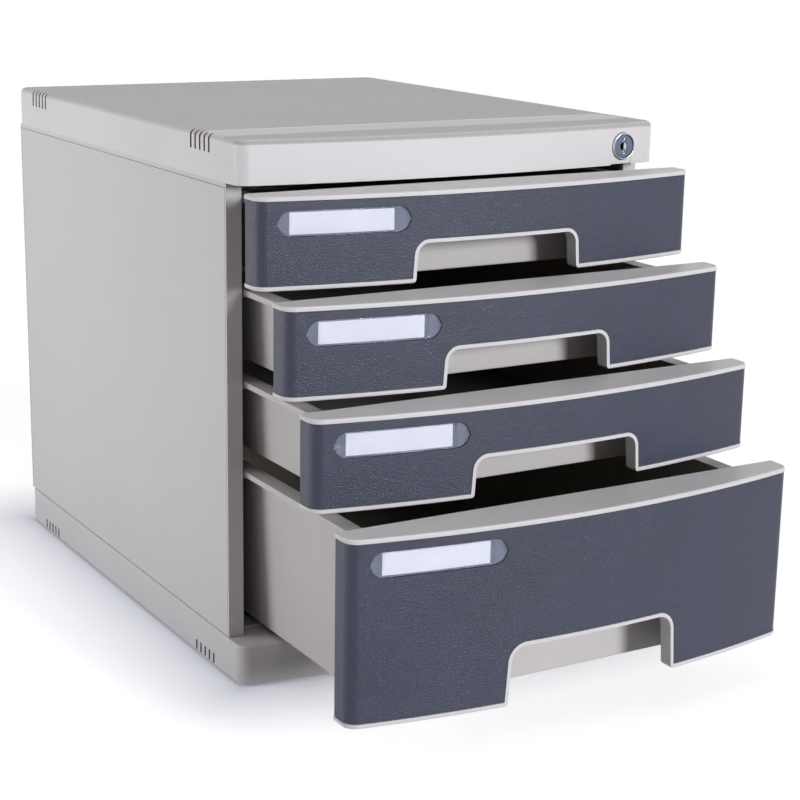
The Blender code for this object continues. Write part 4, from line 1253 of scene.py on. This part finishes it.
def tub(drawer):
    low, rim = drawer.low, drawer.high - RIM_DROP
    front = drawer.end + TUB_FRONT
    back, drop = front + TUB_LENGTH, rim - low
    plan = rounded_plan(TUB_OUTER, front, back, TUB_CORNER, rim)
    body = narrowed(plan, drop, TUB_OUTER, front, back)
    piece = new_piece(f"{drawer.name}_moulded_tub", round_over(body, level_at(low), FLOOR_ROUND, 3))
    flange = (TUB_OUTER - TUB_WALL / 2, rim - FLANGE_THICKNESS, rim)
    lip = (FLANGE_OUTER - LIP_THICKNESS, rim - LIP_HEIGHT, rim - FLANGE_THICKNESS / 2)
    for side in (-1, 1):
        for inner, bottom, top in (flange, lip):
            join(piece, block(*side_corners(side, inner, FLANGE_OUTER, front, back, bottom, top)))
    half = TUB_OUTER - TUB_WALL + ABOVE_RIM * SIDE_DRAFT
    inner_front, inner_back = front + TUB_WALL, back - TUB_WALL
    plan = rounded_plan(half, inner_front, inner_back, TUB_CORNER - TUB_WALL, rim + ABOVE_RIM)
    inside = narrowed(plan, drop + ABOVE_RIM - TUB_WALL, half, inner_front, inner_back)
    hollow(piece, round_over(inside, level_at(low + TUB_WALL), INNER_ROUND, 4))
    bore_start, bore_end = TUB_FRONT - TUB_WALL, TUB_FRONT + TUB_BORE
    cut(piece, boss_rods(drawer, SHANK_RADIUS + FIT, bore_start, bore_end))
    return piece, rim, back


# %% [markdown]
# Small tabs keep each drawer in place: stops on top of the flanges at the back, so that it doesn't
# fall out, and a catch under the right flange that a lug of the lock bar drops in front of.

# %% Tabs, and the finished tubs
STOP_LENGTH = 0.006
STOP_HEIGHT = 0.0017
STOP_WIDTH = 0.005
CATCH_FRONT = 0.0287
CATCH_LENGTH = 0.005
CATCH_REACH = 0.0035
CATCH_LOW = 0.01446
CATCH_HIGH = 0.0093

for drawer in drawers:
    piece, rim, back = tub(drawer)
    inner, front = FLANGE_OUTER - STOP_WIDTH, back - STOP_LENGTH
    low, high = rim - FLANGE_THICKNESS / 2, rim + STOP_HEIGHT
    for side in (-1, 1):
        join(piece, block(*side_corners(side, inner, FLANGE_OUTER, front, back, low, high)))
    catch_y = drawer.end + CATCH_FRONT
    catch_low = (TUB_OUTER - TUB_WALL * 0.75, catch_y, rim - CATCH_LOW)
    join(piece, block(catch_low, (TUB_OUTER + CATCH_REACH, catch_y + CATCH_LENGTH, rim - CATCH_HIGH)))
    soften(settle(piece), EDGE_ROUND, 2)
    name = drawer.name
    # The tub's second finish paints shade on its inside.
    stand_for(piece, f"{name}_tub", name, "body_plastic", tub_plastic, tub_painted_shade)

# %% [markdown]
# ## The lock
#
# The lock is a chrome ring round a blue-grey face. The face holds a small round with a keyway
# through it, brass wards at both ends of the keyway, and two bright pins. The ring is a profile
# spun about the lock's axis, which gives it the rounded lip that real bezels have. A bright chrome
# half disc in the right half of the small round is a painted highlight.

# %% Metals
METAL_MOTTLE = 300.0


def metal(name, colour, roughness, scale, depth):
    material, tree, shader = blank_material(name, roughness, 1.0)
    tones = two_tones(tree, patches(tree, METAL_MOTTLE), shade(colour, 0.94), colour)
    feed(shader, "Base Color", tones)
    scratches = dots(tree, scale)
    worn = spread_range(tree, scratches, 0.0, 1.0, roughness * 0.8, roughness * 1.3)
    feed(shader, "Roughness", worn)
    bump(tree, shader, scratches, depth)
    return material


chrome = metal("lock_chrome", (0.60, 0.61, 0.64), 0.12, 900.0, 0.000004)
face_metal = metal("lock_face_metal", (0.10, 0.12, 0.175), 0.32, 1500.0, 0.00001)
brass = metal("ward_brass", (0.62, 0.42, 0.16), 0.25, 1500.0, 0.000008)
steel = metal("bright_steel", (0.55, 0.56, 0.58), 0.3, 1200.0, 0.00001)

# %% Turning a ring about the lock's axis
face_low, face_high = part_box("lock_plug")
bezel_front, face_front = lock_low.y, face_low.y
FACE_RADIUS = 0.0072
FACE_THICKNESS = 0.003
PLUG_RADIUS = 0.0055
RING_STEPS = 48
DISC_STEPS = 40


def turned(points):
    """A profile of (radius, y) points spun about the lock's axis into a closed ring."""
    bm, first = pen_down(LOCK_X + points[0][0], points[0][1], LOCK_Z)
    tip = first
    for radius, y in points[1:]:
        tip = line_to(bm, tip, LOCK_X + radius, y)
    bm.edges.new((tip, first))
    bmesh.ops.spin(
        bm,
        geom=bm.verts[:] + bm.edges[:],
        cent=(LOCK_X, 0, LOCK_Z),
        axis=DEPTHWAYS,
        angle=2 * pi,
        steps=RING_STEPS,
        use_merge=True,
    )
    bmesh.ops.remove_doubles(bm, verts=bm.verts[:], dist=NEAR)
    bmesh.ops.recalc_face_normals(bm, faces=bm.faces[:])
    return bm


# %% The chrome bezel
LIP = 0.0007
FINE = 0.0001
BEZEL_ROUND = 0.00008

mouth = FACE_RADIUS + FIT
seat_back = face_front + FACE_THICKNESS + FIT
profile = [
    (mouth, bezel_front + LIP),
    (mouth + FINE, bezel_front + LIP * 0.35),
    (mouth + FINE * 4, bezel_front),
    (BEZEL_RADIUS - FINE * 5, bezel_front),
    (BEZEL_RADIUS - FINE, bezel_front + LIP * 0.3),
    (BEZEL_RADIUS, bezel_front + LIP),
    (BEZEL_RADIUS, CORNER_LINE - FIT),
    (BARREL_RADIUS, CORNER_LINE - FIT),
    (BARREL_RADIUS, lock_high.y),
    (PLUG_RADIUS + FIT, lock_high.y),
    (PLUG_RADIUS + FIT, seat_back),
    (mouth, seat_back),
]
bezel = soften(new_piece("lock_bezel", turned(profile)), BEZEL_ROUND, 2)
stand_for(bezel, "lock_barrel", "cabinet", "chrome", chrome)

# %% The turning face with its keyway
KEYWAY_HALF_WIDTH = 0.0009
KEYWAY_HALF_HEIGHT = 0.0038
KEYWAY_DEPTH = 0.012
KEY_ROUND = 0.0026
ROUND_DEPTH = 0.0025
AHEAD = 0.002
FACE_ROUND = 0.00012


def in_keyway(front, back, low, high):
    """The corners of a block as wide as the keyway, measured from the middle of the face."""
    return (
        (LOCK_X - KEYWAY_HALF_WIDTH, face_front + front, LOCK_Z + low),
        (LOCK_X + KEYWAY_HALF_WIDTH, face_front + back, LOCK_Z + high),
    )


face_back, round_back = face_front + FACE_THICKNESS, face_front + ROUND_DEPTH
face = on_lock_axis(face_front, face_back, FACE_RADIUS, RING_STEPS)
face_disc = new_piece("lock_turning_face", face)
plug_front = face_front + FACE_THICKNESS / 2
join(face_disc, on_lock_axis(plug_front, face_high.y, PLUG_RADIUS, DISC_STEPS))
cut(face_disc, block(*in_keyway(-AHEAD, KEYWAY_DEPTH, -KEYWAY_HALF_HEIGHT, KEYWAY_HALF_HEIGHT)))
cut(face_disc, on_lock_axis(face_front - AHEAD, round_back, KEY_ROUND, DISC_STEPS))
soften(settle(face_disc), FACE_ROUND, 2)
stand_for(face_disc, "lock_plug", "lock_plug", "lock_face", face_metal)

# %% Wards and pins
WARD_SUNK = 0.0003
WARD_DEPTH = 0.0012
WARD_HALF = 0.00045
WARD_Z = KEYWAY_HALF_HEIGHT - 0.00055
WARD_ROUND = 0.0001
PIN_RADIUS = 0.0006
PIN_REACH = 0.0046

wards = [in_keyway(WARD_SUNK, WARD_DEPTH, z - WARD_HALF, z + WARD_HALF) for z in (-WARD_Z, WARD_Z)]
ward_piece = soften(new_piece("keyway_wards", blocks(*wards)), WARD_ROUND, 2)
finish_with(ward_piece, brass)

bm = bmesh.new()
for side in (-1, 1):
    bmesh.ops.create_uvsphere(
        bm,
        u_segments=16,
        v_segments=10,
        radius=PIN_RADIUS,
        matrix=Matrix.Translation((LOCK_X, face_front, LOCK_Z + side * PIN_REACH)),
    )
pins = soften(new_piece("face_pins", bm), 0)
finish_with(pins, chrome)

# %% The half disc beside the keyway, a painted highlight
# Painted highlight: a bright chrome half disc in the right half of the small round.
HIGHLIGHT_SUNK = 0.0003
HIGHLIGHT_RADIUS = KEY_ROUND - FIT / 2
HIGHLIGHT_ROUND = 0.0002

highlight_front = face_front + HIGHLIGHT_SUNK
disc = on_lock_axis(highlight_front, round_back, HIGHLIGHT_RADIUS, DISC_STEPS)
highlight_disc = new_piece("keyway_shutter", disc)
keep_inside(
    highlight_disc,
    block(
        (LOCK_X + FIT, face_front - WARD_DEPTH, LOCK_Z - KEY_ROUND),
        (LOCK_X + KEY_ROUND, face_front + KEYWAY_DEPTH, LOCK_Z + KEY_ROUND),
    ),
)
finish_with(soften(settle(highlight_disc), HIGHLIGHT_ROUND, 2), chrome)
for piece, slot in ((ward_piece, "lock_face"), (pins, "chrome"), (highlight_disc, "chrome")):
    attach(piece, "lock_plug")

# %% [markdown]
# ## The CAD nodes that stay
#
# The runner panels, the screws, the nut, the cam and the lock bar already have the right shape, so
# they only get a finish. The runner panels' dark tone is painted shade.

# %% Finishes for the kept nodes
for name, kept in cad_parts.items():
    if kept.hide_render:
        continue
    kept.data.materials.clear()
    # The runner panels take a dark tone of painted shade.
    kept.data.materials.append(runner_plastic if name.endswith("runner_panel") else steel)
    print("kept:", name)

# %% [markdown]
# ## Floor, light and camera
#
# The photograph is a product shot on white. The floor reads as white to the camera through a
# little emission that only camera, glossy and transmission rays see, and its diffuse part still
# takes the cabinet's shadow. Close to the base the floor glows less and a little bluer, which is a
# painted soft shadow there. A low sun from the front right lights the fronts, which shade the
# post beside them. A broad weak one lights the tops, and a lamp panel on the left lights the side.

# %% The floor
FLOOR_SIZE = 12.0

bm = bmesh.new()
bmesh.ops.create_grid(bm, x_segments=1, y_segments=1, size=FLOOR_SIZE)
floor = new_piece("studio_floor", bm)
floor_material, tree, shader = blank_material("studio_floor", 0.9)
shader.inputs["Base Color"].default_value = (0.60, 0.60, 0.62, 1)
shader.inputs["Specular IOR Level"].default_value = 0.0
light_path = tree.nodes.new("ShaderNodeLightPath")


def seen_directly(tree, path):
    """1 for camera, glossy and transmission rays, 0 for the light that lands on things."""
    bright = math(tree, "MAXIMUM", path.outputs["Is Camera Ray"], path.outputs["Is Glossy Ray"])
    return math(tree, "MAXIMUM", bright, path.outputs["Is Transmission Ray"])


def beyond(tree, value, middle, half):
    """How far a coordinate lies outside a span."""
    away = math(tree, "ABSOLUTE", math(tree, "SUBTRACT", value, middle))
    return math(tree, "MAXIMUM", math(tree, "SUBTRACT", away, half), 0.0)


# %% The floor's glow, with a painted shadow close to the base
FLOOR_GLOW = 0.71
# Painted shadow: close to the base the floor glows less and a little bluer.
PAINTED_SHADOW_GLOW = 0.20
PAINTED_SHADOW_REACH = 0.10
PAINTED_SHADOW_TONE = (0.80, 0.85, 1.0)
WHITE = (1, 1, 1)

place = node(tree, "ShaderNodeSeparateXYZ", Vector=object_place(tree))
across = beyond(tree, place.outputs["X"], 0.0, CASE_HALF)
along = beyond(tree, place.outputs["Y"], CORNER_LINE + CASE_DEPTH / 2, CASE_DEPTH / 2)
squares = [math(tree, "POWER", distance, 2.0) for distance in (across, along)]
away = math(tree, "SQRT", math(tree, "ADD", *squares))
outside_painted_shadow = math(tree, "POWER", spread_range(tree, away, 0.0, PAINTED_SHADOW_REACH), 0.5)
level = spread_range(tree, outside_painted_shadow, 0.0, 1.0, PAINTED_SHADOW_GLOW, FLOOR_GLOW)
glow = math(tree, "MULTIPLY", seen_directly(tree, light_path), level)
feed(shader, "Emission Color", two_tones(tree, outside_painted_shadow, PAINTED_SHADOW_TONE, WHITE))
feed(shader, "Emission Strength", glow)
finish_with(floor, floor_material)

# %% The world
AMBIENT = (0.185, 0.17, 0.155)

world = bpy.data.worlds.new("studio")
bpy.context.scene.world = world
world.use_nodes = True
tree = world.node_tree
path = tree.nodes.new("ShaderNodeLightPath")
sky = two_tones(tree, seen_directly(tree, path), AMBIENT, WHITE)
feed(tree.nodes["Background"], "Color", sky)

# %% The lamps
LAMP_TONE = (0.955, 0.97, 1.0)
SUN_FROM = Vector((0.30, -0.93, 0.23))
SUN_STRENGTH = 2.85
SUN_ANGLE = radians(16)
TOP_FROM = Vector((0.05, -0.05, 1.0))
TOP_STRENGTH = 0.5
TOP_ANGLE = radians(50)
PANEL_AT = Vector((-1.2, 0.37, 0.36))
PANEL_AIM = Vector((-0.15, 0.05, 0.15))
PANEL_SIZE = 0.55
PANEL_POWER = 7.7


def add_lamp(name, kind, strength, towards, place=(0, 0, 0)):
    lamp = bpy.data.lights.new(name, kind)
    lamp.color = LAMP_TONE
    lamp.energy = strength
    lamp_object = bpy.data.objects.new(name, lamp)
    lamp_object.location = place
    lamp_object.rotation_euler = towards.to_track_quat("Z", "Y").to_euler()
    bpy.context.scene.collection.objects.link(lamp_object)
    print("lamp:", name, strength)
    return lamp


add_lamp("front_sun", "SUN", SUN_STRENGTH, SUN_FROM).angle = SUN_ANGLE
add_lamp("top_sun", "SUN", TOP_STRENGTH, TOP_FROM).angle = TOP_ANGLE
add_lamp("side_panel_lamp", "AREA", PANEL_POWER, PANEL_AT - PANEL_AIM, PANEL_AT).size = PANEL_SIZE

# %% The camera
LENS = 83.03
CAMERA_AT = (-0.6031, -1.0693, 0.4547)
YAW, PITCH, ROLL = radians(-30.44), radians(-14.34), radians(0.94)

camera = bpy.data.cameras.new("photo_camera")
camera.lens = LENS
camera.sensor_width = 36.0
camera_object = bpy.data.objects.new("photo_camera", camera)
camera_object.matrix_world = (
    Matrix.Translation(CAMERA_AT)
    @ Matrix.Rotation(YAW, 4, "Z")
    @ Matrix.Rotation(pi / 2 + PITCH, 4, "X")
    @ Matrix.Rotation(ROLL, 4, "Z")
)
bpy.context.scene.collection.objects.link(camera_object)
bpy.context.scene.camera = camera_object
bpy.context.scene.view_settings.view_transform = "Standard"
print("camera at", CAMERA_AT, "lens", LENS)
